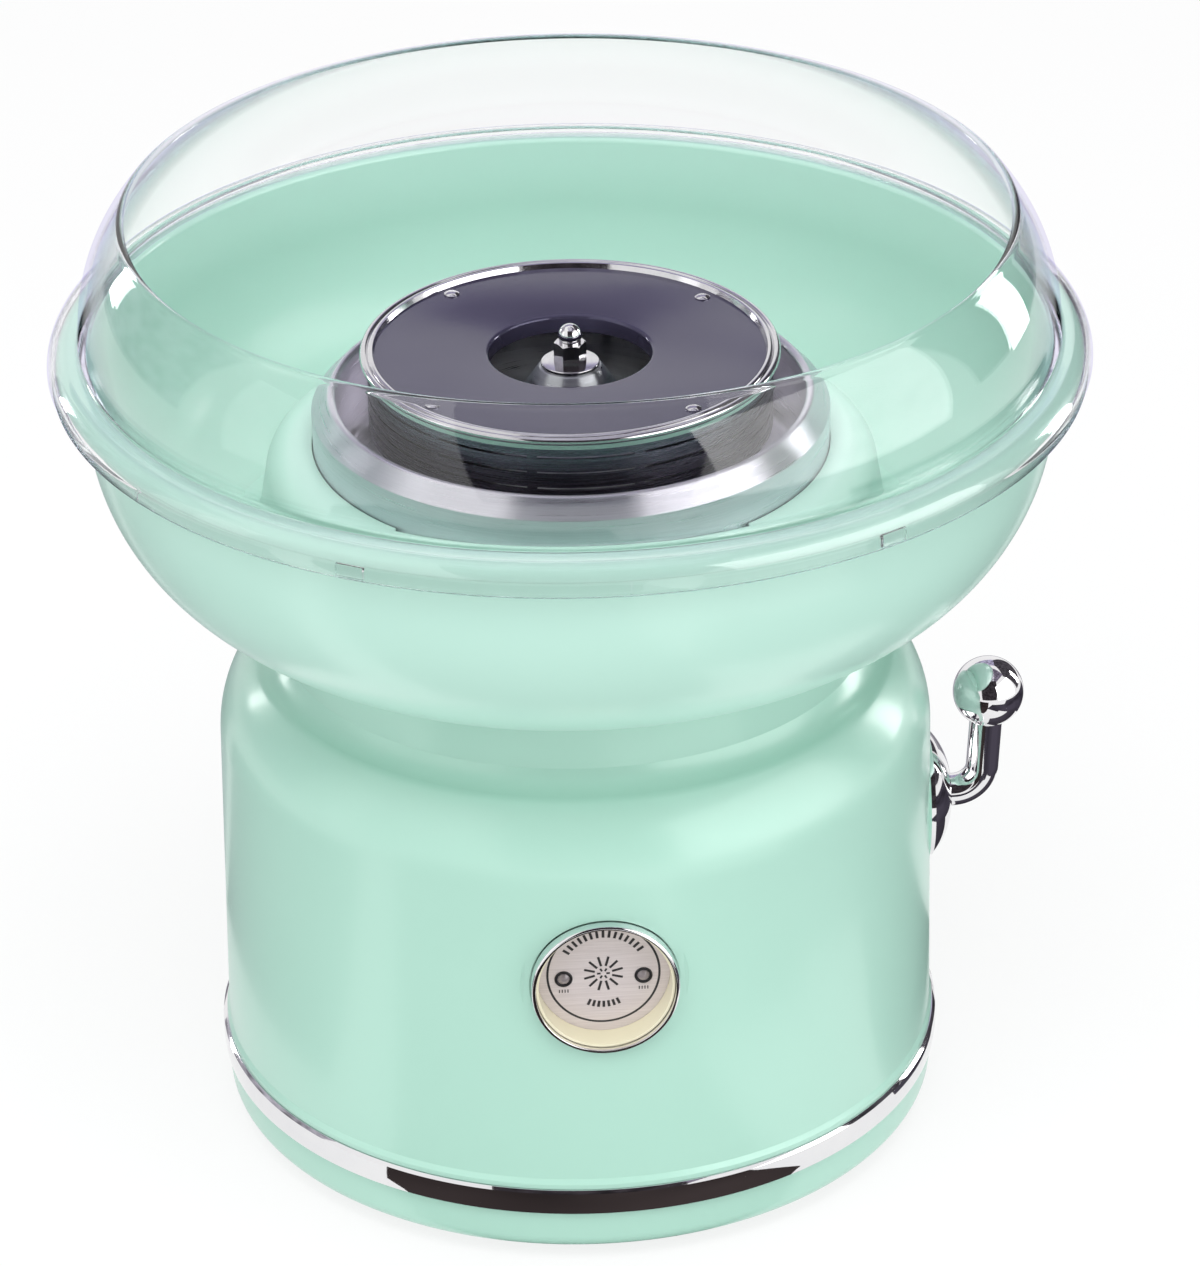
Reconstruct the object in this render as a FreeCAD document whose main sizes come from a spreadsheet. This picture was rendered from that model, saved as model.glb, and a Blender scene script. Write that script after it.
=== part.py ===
import FreeCAD, Part
import math
import os
import re
import sys

import Sketcher
from FreeCAD import Placement, Rotation, Vector

# Table-top cotton candy machine with a spinning extractor head, a lift-off bowl and a clear
# lift-off guard. Millimetres, +Z up, origin on the floor under the centre of the machine.
# The badge faces -Y and the switch lever is on +X.

sizes = {
    # fits
    "slip": 0.3,              # between pieces that only stand beside each other
    "running": 0.05,          # radial clearance of a shaft in its bush
    "wall": 2.6,              # moulded housing

    # feet and base pan
    "footRadius": 8,
    "footHeight": 3.5,
    "footInset": 22.8,
    "footTaper": 8,
    "panProud": 0.3,
    "panHeight": 13,
    "panEdge": 5,
    "spigotGap": 0.4,
    "spigotHeight": 13.5,
    "ventCount": 16,
    "ventInner": 30,
    "ventReach": 34,
    "ventHalf": 1.6,
    "screwInset": 12.5,
    "screwCount": 4,
    "screwTurn": 45,
    "postRadius": 5,
    "postRise": 24.5,
    "postLength": 38,
    "pilotRadius": 1.6,
    "screwRadius": 1.9,
    "screwHeadRadius": 3.6,
    "screwHeadHeight": 2.4,
    "screwWell": 4.2,

    # bright band between pan and housing
    "bandProud": 1.8,
    "bandHeight": 8.2,
    "bandGap": 0.5,
    "bandBulge": 22,
    "bandEdge": 0.8,

    # housing
    "bodyRadius": 104.5,
    "bodyDraft": 1.2,
    "bodyHeight": 95.9,
    "shoulderRadius": 30.8,
    "creaseInset": 12.5,
    "creaseStep": 6.06,
    "creaseBlend": 12,
    "neckInset": 19.7,
    "neckDraft": 1.4,
    "neckHeight": 16.5,
    "towerWall": 1.5,
    "towerRise": 12,
    "ledgeReach": 8.4,
    "ledgeThick": 2.4,
    "bodyLip": 0.7,
    "bodyLipHeight": 1.6,

    # badge with two pilot lamps
    "badgeRise": 66.7,
    "badgeProud": 1.9,
    "badgeSink": 3.3,
    "badgeWell": 9.5,
    "badgeRing": 2.8,
    "bezelRadius": 20.8,
    "bezelFlange": 0.7,
    "bezelSheet": 0.5,
    "bezelRound": 0.9,
    "bezelBevel": 0.2,
    "bezelDepth": 12,
    "linerWall": 0.8,
    "linerSink": 1.8,
    "linerLedge": 1.8,
    "plateSink": 9.5,
    "plateThick": 1,
    "lampOffset": 11.2,
    "lampDrop": 1.2,
    "lampRadius": 1.8,
    "lampRimWall": 0.4,
    "lampRimLip": 0.35,
    "lampDepth": 6,
    "boardDepth": 10.3,
    "boardThick": 1.6,
    "ledRadius": 2.4,

    # switch lever on the +X side
    "leverRise": 64.05,
    "leverWell": 8.5,
    "leverSink": 2.1,
    "leverRing": 2.2,
    "escutcheonRadius": 19,
    "escutcheonRim": 1.6,
    "escutcheonHeight": 8,
    "escutcheonDome": 22,
    "rodRadius": 4.8,
    "rodSink": 1.6,
    "rodReach": 1,
    "bendRadius": 8.6,
    "leverLean": 3,
    "rodRise": 15,
    "ballRadius": 10.4,
    "ballRise": 32.65,
    "spindleRadius": 3,
    "spindleDepth": 14,
    "switchRadius": 12,
    "switchDepth": 18,
    "switchNeck": 5.3,

    # cord outlet on the +Y side
    "glandRise": 15,
    "glandBore": 3.5,
    "glandWall": 3.1,
    "glandFlange": 2.4,
    "glandSink": 1.5,
    "glandFlangeThick": 2.6,
    "glandClip": 2.4,

    # lift-off bowl
    "bowlWall": 2.4,
    "bowlArcInset": 6.6,
    "bowlFootDip": 0.35,
    "bowlArcRadius": 58.5,
    "footLedge": 0.8,
    "footWidth": 7,
    "bowlBrim": 14.75,
    "lipReach": 5.3,
    "lipHeight": 4.4,
    "bowlFlare": 1,
    "hubGap": 1.4,
    "hubLap": 1.2,
    "hubLip": 1,
    "hubFlat": 3.5,
    "hubRound": 9,
    "hubFlare": 2.2,
    "hubRise": 23,
    "hubBlend": 14,

    # clear guard
    "guardWall": 2,
    "guardArcInset": 50.9,
    "guardArcRise": 10.1,
    "guardArcRadius": 47.7,
    "guardRise": 31.2,
    "guardBead": 1.4,
    "guardStep": 1.4,
    "guardBlend": 1.5,
    "flangeRadius": 6,
    "lipGap": 2.9,
    "skirtDrop": 4,
    "skirtTuck": 1.2,
    "clipCount": 6,
    "clipHalf": 5,
    "clipGap": 0.8,
    "clipHeight": 3.4,

    # heater tray and what stands in it
    "trayInset": 17.4,
    "trayLift": 32,
    "trayDepth": 27.4,
    "traySheet": 1,
    "rimReach": 1.7,
    "rimRoll": 1.2,
    "rimInnerRoll": 1.5,
    "coneReach": 4.3,
    "coneDrop": 5.2,
    "skirtHeight": 11.8,
    "trayHole": 9,
    "trayHoleRise": 5,
    "trayCorner": 3,
    "trayScrewInset": 5.4,
    "trayScrewCount": 3,
    "trayScrewTurn": 30,
    "trayScrewRadius": 1.5,
    "trayScrewHead": 2.9,
    "trayScrewHeadHeight": 1.5,
    "elementInset": 25.4,
    "elementRise": 8.5,
    "elementRadius": 3,
    "elementSweep": 330,
    "elementTail": 2.2,
    "elementTailDrop": 11,
    "standHalf": 4.5,
    "standReach": 6,
    "standLap": 0.5,
    "standTurn": 75,
    "standCount": 3,
    "thermostatRadius": 8,
    "thermostatDepth": 8,
    "thermostatInset": 33.4,
    "fuseRadius": 2,
    "fuseLength": 16,
    "fuseInset": 21.4,

    # motor and its plate, hung from the deck
    "hangInset": 10,
    "hangCount": 3,
    "hangTurn": 90,
    "hangRadius": 5,
    "hangLength": 11,
    "mountRadius": 6.5,
    "mountHeight": 4,
    "motorPlateInset": 12.8,
    "motorPlateThick": 2,
    "motorPlateHole": 9,
    "windowTurn": 30,
    "motorRadius": 27,
    "motorSheet": 1.6,
    "motorHeight": 52,
    "magnetThick": 4,
    "magnetRise": 5,
    "rotorGap": 0.8,
    "rotorRise": 8,
    "commutatorRadius": 7,
    "capDepth": 7,
    "bushRadius": 6,
    "bushLength": 7,
    "shaftRadius": 2.5,
    "shaftFoot": 4,
    "shaftTail": 1.6,
    "fanLift": 3,
    "fanHeight": 8,
    "fanHub": 7,
    "fanReach": 37,
    "fanBlades": 9,
    "fanBladeHalf": 0.7,
    "blockLength": 26,
    "blockWidth": 14,
    "blockHeight": 12,
    "blockInset": 27.5,

    # spinning extractor head
    "headLift": 20,
    "headGap": 10.1,
    "collarRadius": 7,
    "collarLength": 21.5,
    "panBossHeight": 14.5,
    "panBossRadius": 8.8,
    "panBossFlare": 8.2,
    "panBossStep": 2.5,
    "panFlatInset": 12.6,
    "panSheet": 1,
    "panLip": 2.5,
    "headPanCorner": 2.2,
    "headBandSheet": 0.6,
    "headBandDrop": 2.6,
    "headBandHeight": 20.2,
    "slitRows": 3,
    "slitCount": 12,
    "slitSweep": 27.3,
    "slitHalf": 0.35,
    "slitRise": 6.6,
    "slitPitch": 4.8,
    "coverThick": 1.2,
    "coverHole": 23,
    "coverCollar": 5.2,
    "coverRound": 1.1,
    "rimReachIn": 2.1,
    "rimReachOut": 2.1,
    "rimRise": 1.4,
    "rimSkirt": 2.2,
    "rimBead": 1.1,
    "rimValley": 0.55,
    "rivetInset": 6.3,
    "rivetCount": 4,
    "rivetTurn": 37.5,
    "rivetRadius": 1.5,
    "rivetHead": 2.2,
    "rivetDome": 1,
    "rivetSlope": 50,
    "washerRadius": 8.3,
    "washerThick": 1.2,
    "nutAcross": 8,
    "nutHeight": 5.9,
    "capRadius": 3.3,
    "capWaist": 3.1,
    "capWaistHeight": 1.4,
    "capHeight": 3.8,
}

# places and sizes that follow from the ones above
derived = {
    # up the outside
    "panTop": "footHeight + panHeight",
    "bandTop": "panTop + bandHeight",
    "spigotTop": "panTop + spigotHeight",
    "postBase": "footHeight + postRise",
    "postTop": "postBase + postLength",
    "shoulderBase": "bandTop + bodyHeight",
    "shoulderInset": "creaseInset - bodyDraft",
    "creaseTop": "shoulderBase + sqrt(shoulderRadius^2 - (shoulderRadius - shoulderInset)^2)",
    "neckBase": "creaseTop + creaseStep",
    "deckHeight": "neckBase + neckHeight",

    # outwards from the axis
    "panRadius": "bodyRadius + panProud",
    "spigotRadius": "bodyRadius - wall - spigotGap",
    "footCircle": "panRadius - footInset",
    "ventOuter": "ventInner + ventReach",
    "screwCircle": "bodyRadius - screwInset",
    "bandRadius": "bodyRadius + bandProud",
    "bandInner": "spigotRadius + bandGap",
    "creaseRadius": "bodyRadius - creaseInset",
    "neckRadius": "bodyRadius - neckInset",
    "towerRadius": "trayRadius + slip + towerWall",
    "towerTop": "trayFloor + towerRise",
    "ledgeInner": "trayRadius - ledgeReach",

    # badge
    "badgeHeight": "bandTop + badgeRise",
    "badgeFront": "bodyRadius + badgeProud",
    "badgeSeat": "bodyRadius - badgeSink",
    "badgeBoss": "bezelRadius + badgeRing",
    "badgeBossDepth": "bodyRadius - badgeWell",
    "bezelNeck": "bezelRadius - bezelFlange",
    "bezelInner": "bezelNeck - bezelSheet",
    "bezelBack": "badgeFront - bezelDepth",
    "linerOuter": "bezelInner - slip/3",
    "linerInner": "linerOuter - linerWall",
    "linerFront": "badgeFront - linerSink",
    "plateFront": "badgeFront - plateSink",
    "plateBack": "plateFront - plateThick",
    "lampRimRadius": "lampRadius + lampRimWall",
    "boardBack": "plateFront - boardDepth",
    "boardFront": "boardBack + boardThick",

    # switch lever
    "leverHeight": "bandTop + leverRise",
    "leverBoss": "escutcheonRadius + leverRing",
    "leverBossDepth": "bodyRadius - leverWell",
    "leverSeat": "bodyRadius - leverSink",
    "escutcheonTop": "leverSeat + escutcheonHeight",
    "rodStart": "leverSeat + rodSink",
    "bendStart": "escutcheonTop + rodReach",
    "spindleStart": "leverBossDepth - spindleDepth",
    "switchStart": "leverBossDepth - switchDepth",

    # cord outlet
    "glandHeight": "spigotTop + glandRise",
    "glandNeck": "glandBore + glandWall",
    "glandEdge": "glandNeck + glandFlange",
    "glandSeat": "bodyRadius - glandSink",

    # bowl
    "bowlArcCentre": "neckRadius - bowlArcInset",
    "bowlArcFoot": "deckHeight - bowlFootDip",
    "bowlArcHeight": "bowlArcFoot + sqrt(bowlArcRadius^2 - (bowlFootOuter - bowlArcCentre)^2)",
    "bowlInnerArc": "bowlArcRadius - bowlWall",
    "bowlFootOuter": "neckRadius - footLedge",
    "bowlFootInner": "bowlFootOuter - footWidth",
    "bowlLipBase": "bowlArcHeight + bowlBrim",
    "bowlLipRadius": "bowlArcCentre + bowlArcRadius + lipReach",
    "bowlLipTop": "bowlLipBase + lipHeight",
    "lipRound": "flangeRadius - lipGap - guardWall + slip/3",
    "hubInner": "skirtRadius + hubGap",
    "hubTop": "skirtBase + hubLap",
    "hubCrest": "hubInner + hubFlat",
    "hubSide": "hubCrest + hubRound + hubFlare",
    "hubSideBase": "deckHeight + hubRise",

    # guard
    "flangeHeight": "bowlLipTop + guardWall - flangeRadius",
    "flangeCentre": "bowlLipRadius + lipGap + guardWall - flangeRadius",
    "guardArcCentre": "flangeCentre - guardArcInset",
    "guardArcHeight": "flangeHeight + guardArcRise",
    "guardInnerArc": "guardArcRadius - guardWall",
    "guardTop": "guardArcHeight + guardRise",
    "guardBase": "flangeHeight + flangeRadius + guardStep",
    "skirtLip": "flangeHeight - skirtDrop",
    "clipInner": "bowlLipRadius + clipGap",

    # heater tray
    "trayRadius": "neckRadius - trayInset",
    "trayFloor": "deckHeight + trayLift",
    "trayRim": "trayFloor + trayDepth",
    "rimRadius": "trayRadius + rimReach",
    "skirtRadius": "rimRadius + coneReach",
    "skirtTop": "trayRim - coneDrop",
    "skirtBase": "skirtTop - skirtHeight",
    "trayHoleTop": "trayFloor + trayHoleRise",
    "trayScrewCircle": "trayRadius - trayScrewInset",
    "elementCircle": "trayRadius - elementInset",
    "elementHeight": "trayFloor + elementRise",
    "elementTailBase": "trayFloor - elementTailDrop",
    "standTop": "elementHeight + standLap",
    "thermostatX": "trayRadius - thermostatInset",
    "fuseY": "trayRadius - fuseInset",

    # motor
    "motorPlateRadius": "neckRadius - motorPlateInset",
    "hangCircle": "motorPlateRadius - hangInset",
    "hangBase": "deckHeight - hangLength",
    "motorPlateTop": "hangBase - mountHeight",
    "motorTop": "motorPlateTop - motorPlateThick",
    "motorBase": "motorTop - motorHeight",
    "magnetInner": "motorRadius - motorSheet - magnetThick",
    "rotorRadius": "magnetInner - rotorGap",
    "shaftBase": "motorBase - shaftFoot",
    "fanBase": "motorPlateTop + fanLift",
    "fanRadius": "fanHub + fanReach",
    "blockY": "spigotRadius - blockInset",

    # head
    "panFloor": "trayFloor + headLift",
    "panBossTop": "panFloor + panBossHeight",
    "panBossLevel": "panFloor + panBossStep",
    "panBossFoot": "panBossRadius + panBossFlare",
    "collarBase": "panBossTop - panSheet - collarLength",
    "headBandRadius": "trayRadius - headGap",
    "headPanRadius": "headBandRadius - headBandSheet - slip/3",
    "headPanLip": "panFloor + panLip",
    "panFlat": "headPanRadius - panFlatInset",
    "headBandBase": "panFloor - headBandDrop",
    "headBandTop": "headBandBase + headBandHeight",
    "slitFirst": "headBandBase + slitRise",
    "slitLength": "2*headBandRadius*sin(slitSweep/2)",
    "coverTop": "headBandTop + coverThick",
    "coverRadius": "headBandRadius - slip",
    "rimInner": "headBandRadius - rimReachIn",
    "rimOuter": "headBandRadius + rimReachOut",
    "rimTop": "coverTop + rimRise",
    "rimFoot": "coverTop - rimSkirt",
    "rivetCircle": "headBandRadius - rivetInset",
    "nutBase": "panBossTop + washerThick",
    "nutTop": "nutBase + nutHeight",
    "shaftTop": "nutTop + shaftTail",
    "capTop": "shaftTop + capHeight",
}

doc = FreeCAD.newDocument("CottonCandyMachine")
sheet = doc.addObject("Spreadsheet::Sheet", "sizes")
for row, (name, number) in enumerate(sizes.items(), start=1):
    sheet.set("A%d" % row, name)
    sheet.set("B%d" % row, str(number))
    sheet.setAlias("B%d" % row, name)
doc.recompute()

pieces = []


def spelledOut(formula):
    # a formula with each derived name swapped for its own formula
    def swap(word):
        name = word.group()
        return "(%s)" % spelledOut(derived[name]) if name in derived else name
    return re.sub(r"[A-Za-z]\w*", swap, str(formula))


def size(formula):
    # the number that a formula of named sizes gives
    return float(sheet.evalExpression(spelledOut(formula)))


def bound(formula):
    # the same formula, written for an expression of another object
    def swap(word):
        name = word.group()
        return "sizes." + name if name in sizes else name
    return re.sub(r"[A-Za-z]\w*", swap, spelledOut(formula))


def originFeature(body, role):
    return [feature for feature in body.Origin.OriginFeatures if feature.Role == role][0]


def newBody(label, height=None, turn=None):
    # a sub-part, lifted to a height and turned about +Z where it needs it
    body = doc.addObject("PartDesign::Body", label)
    body.Label = label
    if turn is not None:
        body.Placement = Placement(Vector(), Rotation(Vector(0, 0, 1), size(turn)))
        body.setExpression("Placement.Rotation.Angle", bound(turn))
    if height is not None:
        body.setExpression("Placement.Base.z", bound(height))
    pieces.append(body)
    return body


def newSketch(body, role, level=None):
    sketch = body.newObject("Sketcher::SketchObject", body.Name + "Sketch")
    sketch.AttachmentSupport = (originFeature(body, role), [""])
    sketch.MapMode = "FlatFace"
    if level is not None:
        sketch.setExpression("AttachmentOffset.Base.z", bound(level))
    return sketch


def pinPoint(sketch, geometry, end, across, up):
    # holds a point at (across, up), both formulas of named sizes
    for kind, formula, axis in (("DistanceX", across, -2), ("DistanceY", up, -1)):
        number = size(formula)
        if number == 0:
            sketch.addConstraint(Sketcher.Constraint("PointOnObject", geometry, end, axis))
        else:
            index = sketch.addConstraint(Sketcher.Constraint(kind, -1, 1, geometry, end, number))
            sketch.setExpression("Constraints[%d]" % index, bound(formula))


def pinRadius(sketch, geometry, formula):
    index = sketch.addConstraint(Sketcher.Constraint("Radius", geometry, size(formula)))
    sketch.setExpression("Constraints[%d]" % index, bound(formula))


def arcBetween(start, end, radius, turnsLeft):
    # the shorter arc from start to end, and which of its ends is the start
    chord = end - start
    side = Vector(-chord.y, chord.x, 0).normalize()
    rise = math.sqrt(max(radius ** 2 - chord.Length ** 2 / 4, 0))
    centre = (start + end) * 0.5 + side * (rise if turnsLeft else -rise)
    first, last = (start, end) if turnsLeft else (end, start)
    angles = [math.atan2(point.y - centre.y, point.x - centre.x) for point in (first, last)]
    circle = Part.Circle(centre, Vector(0, 0, 1), radius)
    return Part.ArcOfCircle(circle, angles[0], angles[1]), (1, 2) if turnsLeft else (2, 1)


def drawOutline(sketch, corners, closed=True):
    # corners are (across, up), or (across, up, "left" or "right", radius) where an arc leaves
    points = [Vector(size(corner[0]), size(corner[1]), 0) for corner in corners]
    edges = len(corners) if closed else len(corners) - 1
    ends = []
    for index in range(edges):
        corner = corners[index]
        start, end = points[index], points[(index + 1) % len(corners)]
        if len(corner) == 4:
            arc, order = arcBetween(start, end, size(corner[3]), corner[2] == "left")
            geometry = sketch.addGeometry(arc)
            pinRadius(sketch, geometry, corner[3])
        else:
            geometry = sketch.addGeometry(Part.LineSegment(start, end))
            order = (1, 2)
        ends.append((geometry, order))
        pinPoint(sketch, geometry, order[0], corner[0], corner[1])
    for index in range(edges if closed else edges - 1):
        geometry, order = ends[index]
        follower, followerOrder = ends[(index + 1) % edges]
        sketch.addConstraint(
            Sketcher.Constraint("Coincident", geometry, order[1], follower, followerOrder[0]))
    if not closed:
        pinPoint(sketch, ends[-1][0], ends[-1][1][1], corners[-1][0], corners[-1][1])
    return sketch


def drawCircle(sketch, radius, across="0", up="0"):
    centre = Vector(size(across), size(up), 0)
    geometry = sketch.addGeometry(Part.Circle(centre, Vector(0, 0, 1), size(radius)))
    pinPoint(sketch, geometry, 3, across, up)
    pinRadius(sketch, geometry, radius)
    return sketch


def drawBox(sketch, low, high, bottom, top):
    return drawOutline(sketch, [(low, bottom), (high, bottom), (high, top), (low, top)])


def revolve(body, sketch, axis="V_Axis", kind="Revolution", sweep=None):
    feature = body.newObject("PartDesign::" + kind, body.Name + kind)
    feature.Profile = sketch
    feature.ReferenceAxis = (sketch, [axis])
    feature.Angle = 360
    if sweep is not None:
        feature.setExpression("Angle", bound(sweep))
    return feature


def extrude(body, sketch, length, kind="Pad", reverse=False, taper=None):
    feature = body.newObject("PartDesign::" + kind, body.Name + kind)
    feature.Profile = sketch
    feature.Reversed = reverse
    feature.setExpression("Length", bound(length))
    if taper is not None:
        feature.setExpression("TaperAngle", bound(taper))
    return feature


def repeatAround(body, features, count):
    pattern = body.newObject("PartDesign::PolarPattern", body.Name + "Pattern")
    pattern.Originals = features
    pattern.Axis = (originFeature(body, "Z_Axis"), [""])
    pattern.Angle = 360
    pattern.setExpression("Occurrences", bound(count))
    body.Tip = pattern
    return pattern


def turned(label, corners, height=None, plane="XZ_Plane", axis="V_Axis"):
    # a sub-part turned from one outline
    body = newBody(label, height)
    revolve(body, drawOutline(newSketch(body, plane), corners), axis)
    return body


def stackedCylinders(label, across, levels, count=None, turn=None, taper=None):
    # cylinders on one another, each (radius, bottom, top), repeated about +Z where there is a count
    body = newBody(label, turn=turn)
    features = []
    for radius, bottom, top in levels:
        sketch = drawCircle(newSketch(body, "XY_Plane", bottom), radius, across)
        features.append(extrude(body, sketch, "%s - (%s)" % (top, bottom), taper=taper))
    if count is not None:
        repeatAround(body, features, count)
    return body


# ---- base pan, feet and band

def makeBasePan():
    body = turned("base_pan", [
        ("0", "footHeight"),
        ("panRadius - panEdge", "footHeight", "left", "panEdge"),
        ("panRadius", "footHeight + panEdge"),
        ("panRadius", "panTop"),
        ("spigotRadius", "panTop"),
        ("spigotRadius", "spigotTop"),
        ("spigotRadius - wall", "spigotTop"),
        ("spigotRadius - wall", "panTop - wall"),
        ("panRadius - wall", "panTop - wall"),
        ("panRadius - wall", "footHeight + panEdge", "right", "panEdge - wall"),
        ("panRadius - panEdge", "footHeight + wall"),
        ("0", "footHeight + wall")])
    vent = drawBox(newSketch(body, "XY_Plane"), "ventInner", "ventOuter", "-ventHalf", "ventHalf")
    vents = extrude(body, vent, "footHeight + 2*wall", "Pocket", reverse=True)
    repeatAround(body, [vents], "ventCount")
    turnedX = "screwCircle*cos(screwTurn)"
    turnedY = "screwCircle*sin(screwTurn)"
    post = newSketch(body, "XY_Plane", "footHeight")
    drawCircle(post, "postRadius + screwWell - screwHeadRadius", turnedX, turnedY)
    posts = extrude(body, post, "postBase - footHeight")
    repeatAround(body, [posts], "screwCount")
    hole = drawCircle(newSketch(body, "XY_Plane"), "screwRadius + slip/2", turnedX, turnedY)
    holes = extrude(body, hole, "postBase + wall", "Pocket", reverse=True)
    repeatAround(body, [holes], "screwCount")
    well = drawCircle(newSketch(body, "XY_Plane"), "screwWell", turnedX, turnedY)
    wells = extrude(body, well, "postBase - wall", "Pocket", reverse=True)
    repeatAround(body, [wells], "screwCount")


def makeTrimBand():
    turned("trim_band", [
        ("bandInner", "panTop"),
        ("bandRadius - bandEdge", "panTop"),
        ("bandRadius", "panTop + bandEdge", "left", "bandBulge"),
        ("bandRadius", "bandTop - bandEdge"),
        ("bandRadius - bandEdge", "bandTop"),
        ("bandInner", "bandTop")])


def makeFeetAndScrews():
    feet = newBody("rubber_feet")
    foot = drawCircle(newSketch(feet, "XY_Plane", "footHeight"), "footRadius", "footCircle")
    taper = extrude(feet, foot, "footHeight", reverse=True, taper="-footTaper")
    repeatAround(feet, [taper], "screwCount")
    stackedCylinders("base_screws", "screwCircle", [
        ("screwHeadRadius", "postBase - wall - screwHeadHeight", "postBase - wall"),
        ("pilotRadius", "postBase - wall", "postTop - 2*wall")],
        "screwCount", "screwTurn")


# ---- housing

def makeBodyShell():
    # the inside of the shoulder, below the crease
    innerCrease = ("shoulderBase + sqrt((shoulderRadius - wall)^2"
                   " - (shoulderRadius - shoulderInset - wall/2)^2)")
    body = turned("body_shell", [
        ("bodyRadius + bodyLip", "bandTop"),
        ("bodyRadius + bodyLip", "bandTop + bodyLipHeight"),
        ("bodyRadius", "bandTop + 2*bodyLipHeight"),
        ("bodyRadius - bodyDraft", "shoulderBase", "left", "shoulderRadius"),
        ("creaseRadius", "creaseTop", "right", "creaseBlend"),
        ("neckRadius", "neckBase"),
        ("neckRadius - neckDraft", "deckHeight"),
        ("towerRadius", "deckHeight"),
        ("towerRadius", "towerTop"),
        ("towerRadius - towerWall", "towerTop"),
        ("towerRadius - towerWall", "trayFloor"),
        ("ledgeInner", "trayFloor"),
        ("ledgeInner", "trayFloor - ledgeThick"),
        ("towerRadius - wall", "trayFloor - ledgeThick"),
        ("towerRadius - wall", "deckHeight - wall"),
        ("neckRadius - neckDraft - wall", "deckHeight - wall"),
        ("neckRadius - wall", "neckBase - wall/2"),
        ("creaseRadius - wall/2", innerCrease, "right", "shoulderRadius - wall"),
        ("bodyRadius - bodyDraft - wall", "shoulderBase"),
        ("bodyRadius - wall", "bandTop")])

    for role, radius, height, depth, reverse in (
            ("XZ_Plane", "badgeBoss", "badgeHeight", "badgeBossDepth", False),
            ("YZ_Plane", "leverBoss", "leverHeight", "leverBossDepth", False),
            ("XZ_Plane", "glandEdge + wall", "glandHeight", "glandSeat - glandClip", True)):
        level = "-(%s)" % depth if reverse else depth
        boss = drawCircle(newSketch(body, role, level), radius, "0", height)
        extrude(body, boss, "bodyRadius - (%s)" % depth, reverse=reverse)
    trim = drawOutline(newSketch(body, "XZ_Plane"), [
        ("bodyRadius", "bandTop + 2*bodyLipHeight"),
        ("bodyRadius + postRadius", "bandTop + 2*bodyLipHeight"),
        ("bodyRadius + postRadius", "shoulderBase"),
        ("bodyRadius - bodyDraft", "shoulderBase")])
    revolve(body, trim, kind="Groove")

    for role, height, reverse, cuts in (
            ("XZ_Plane", "badgeHeight", False,
             (("bezelRadius + slip", "badgeSeat"), ("bezelNeck + slip/2", "badgeBossDepth - wall"))),
            ("YZ_Plane", "leverHeight", False,
             (("escutcheonRadius + slip", "leverSeat"), ("switchNeck + slip", "leverBossDepth - wall"))),
            ("XZ_Plane", "glandHeight", True,
             (("glandEdge + slip", "glandSeat"), ("glandNeck + slip/2", "glandSeat - 2*wall")))):
        for radius, depth in cuts:
            level = "-(%s)" % depth if reverse else depth
            cut = drawCircle(newSketch(body, role, level), radius, "0", height)
            extrude(body, cut, "bodyRadius + wall - (%s)" % depth, "Pocket", reverse=not reverse)

    screwX = "screwCircle*cos(screwTurn)"
    screwY = "screwCircle*sin(screwTurn)"
    post = newSketch(body, "XY_Plane", "postBase")
    drawCircle(post, "postRadius", screwX, screwY)
    drawCircle(post, "pilotRadius", screwX, screwY)
    posts = extrude(body, post, "postTop - postBase")
    repeatAround(body, [posts], "screwCount")
    ribReach = "(bodyRadius - wall/2)*cos(screwTurn)"
    ribStart = "(screwCircle + postRadius - wall/2)*cos(screwTurn)"
    half = "wall/2*cos(screwTurn)"
    rib = drawOutline(newSketch(body, "XY_Plane", "spigotTop + slip"), [
        ("%s - %s" % (ribStart, half), "%s + %s" % (ribStart, half)),
        ("%s + %s" % (ribStart, half), "%s - %s" % (ribStart, half)),
        ("%s + %s" % (ribReach, half), "%s - %s" % (ribReach, half)),
        ("%s - %s" % (ribReach, half), "%s + %s" % (ribReach, half))])
    ribs = extrude(body, rib, "postTop - spigotTop - slip")
    repeatAround(body, [ribs], "screwCount")

    hang = newSketch(body, "XY_Plane", "hangBase")
    drawCircle(hang, "hangRadius", "0", "hangCircle")
    drawCircle(hang, "pilotRadius", "0", "hangCircle")
    hangers = extrude(body, hang, "deckHeight - hangBase - wall/2")
    repeatAround(body, [hangers], "hangCount")
    arm = drawBox(newSketch(body, "XY_Plane", "deckHeight - wall"), "-hangRadius", "hangRadius",
                  "hangCircle - hangRadius", "towerRadius")
    arms = extrude(body, arm, "wall")
    repeatAround(body, [arms], "hangCount")
    turnedX = "trayScrewCircle*cos(trayScrewTurn)"
    turnedY = "trayScrewCircle*sin(trayScrewTurn)"
    hole = drawCircle(newSketch(body, "XY_Plane", "trayFloor"), "trayScrewRadius", turnedX, turnedY)
    holes = extrude(body, hole, "ledgeThick + wall", "Pocket")
    repeatAround(body, [holes], "trayScrewCount")


# ---- badge and pilot lamps, turned about an axis along -Y

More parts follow.
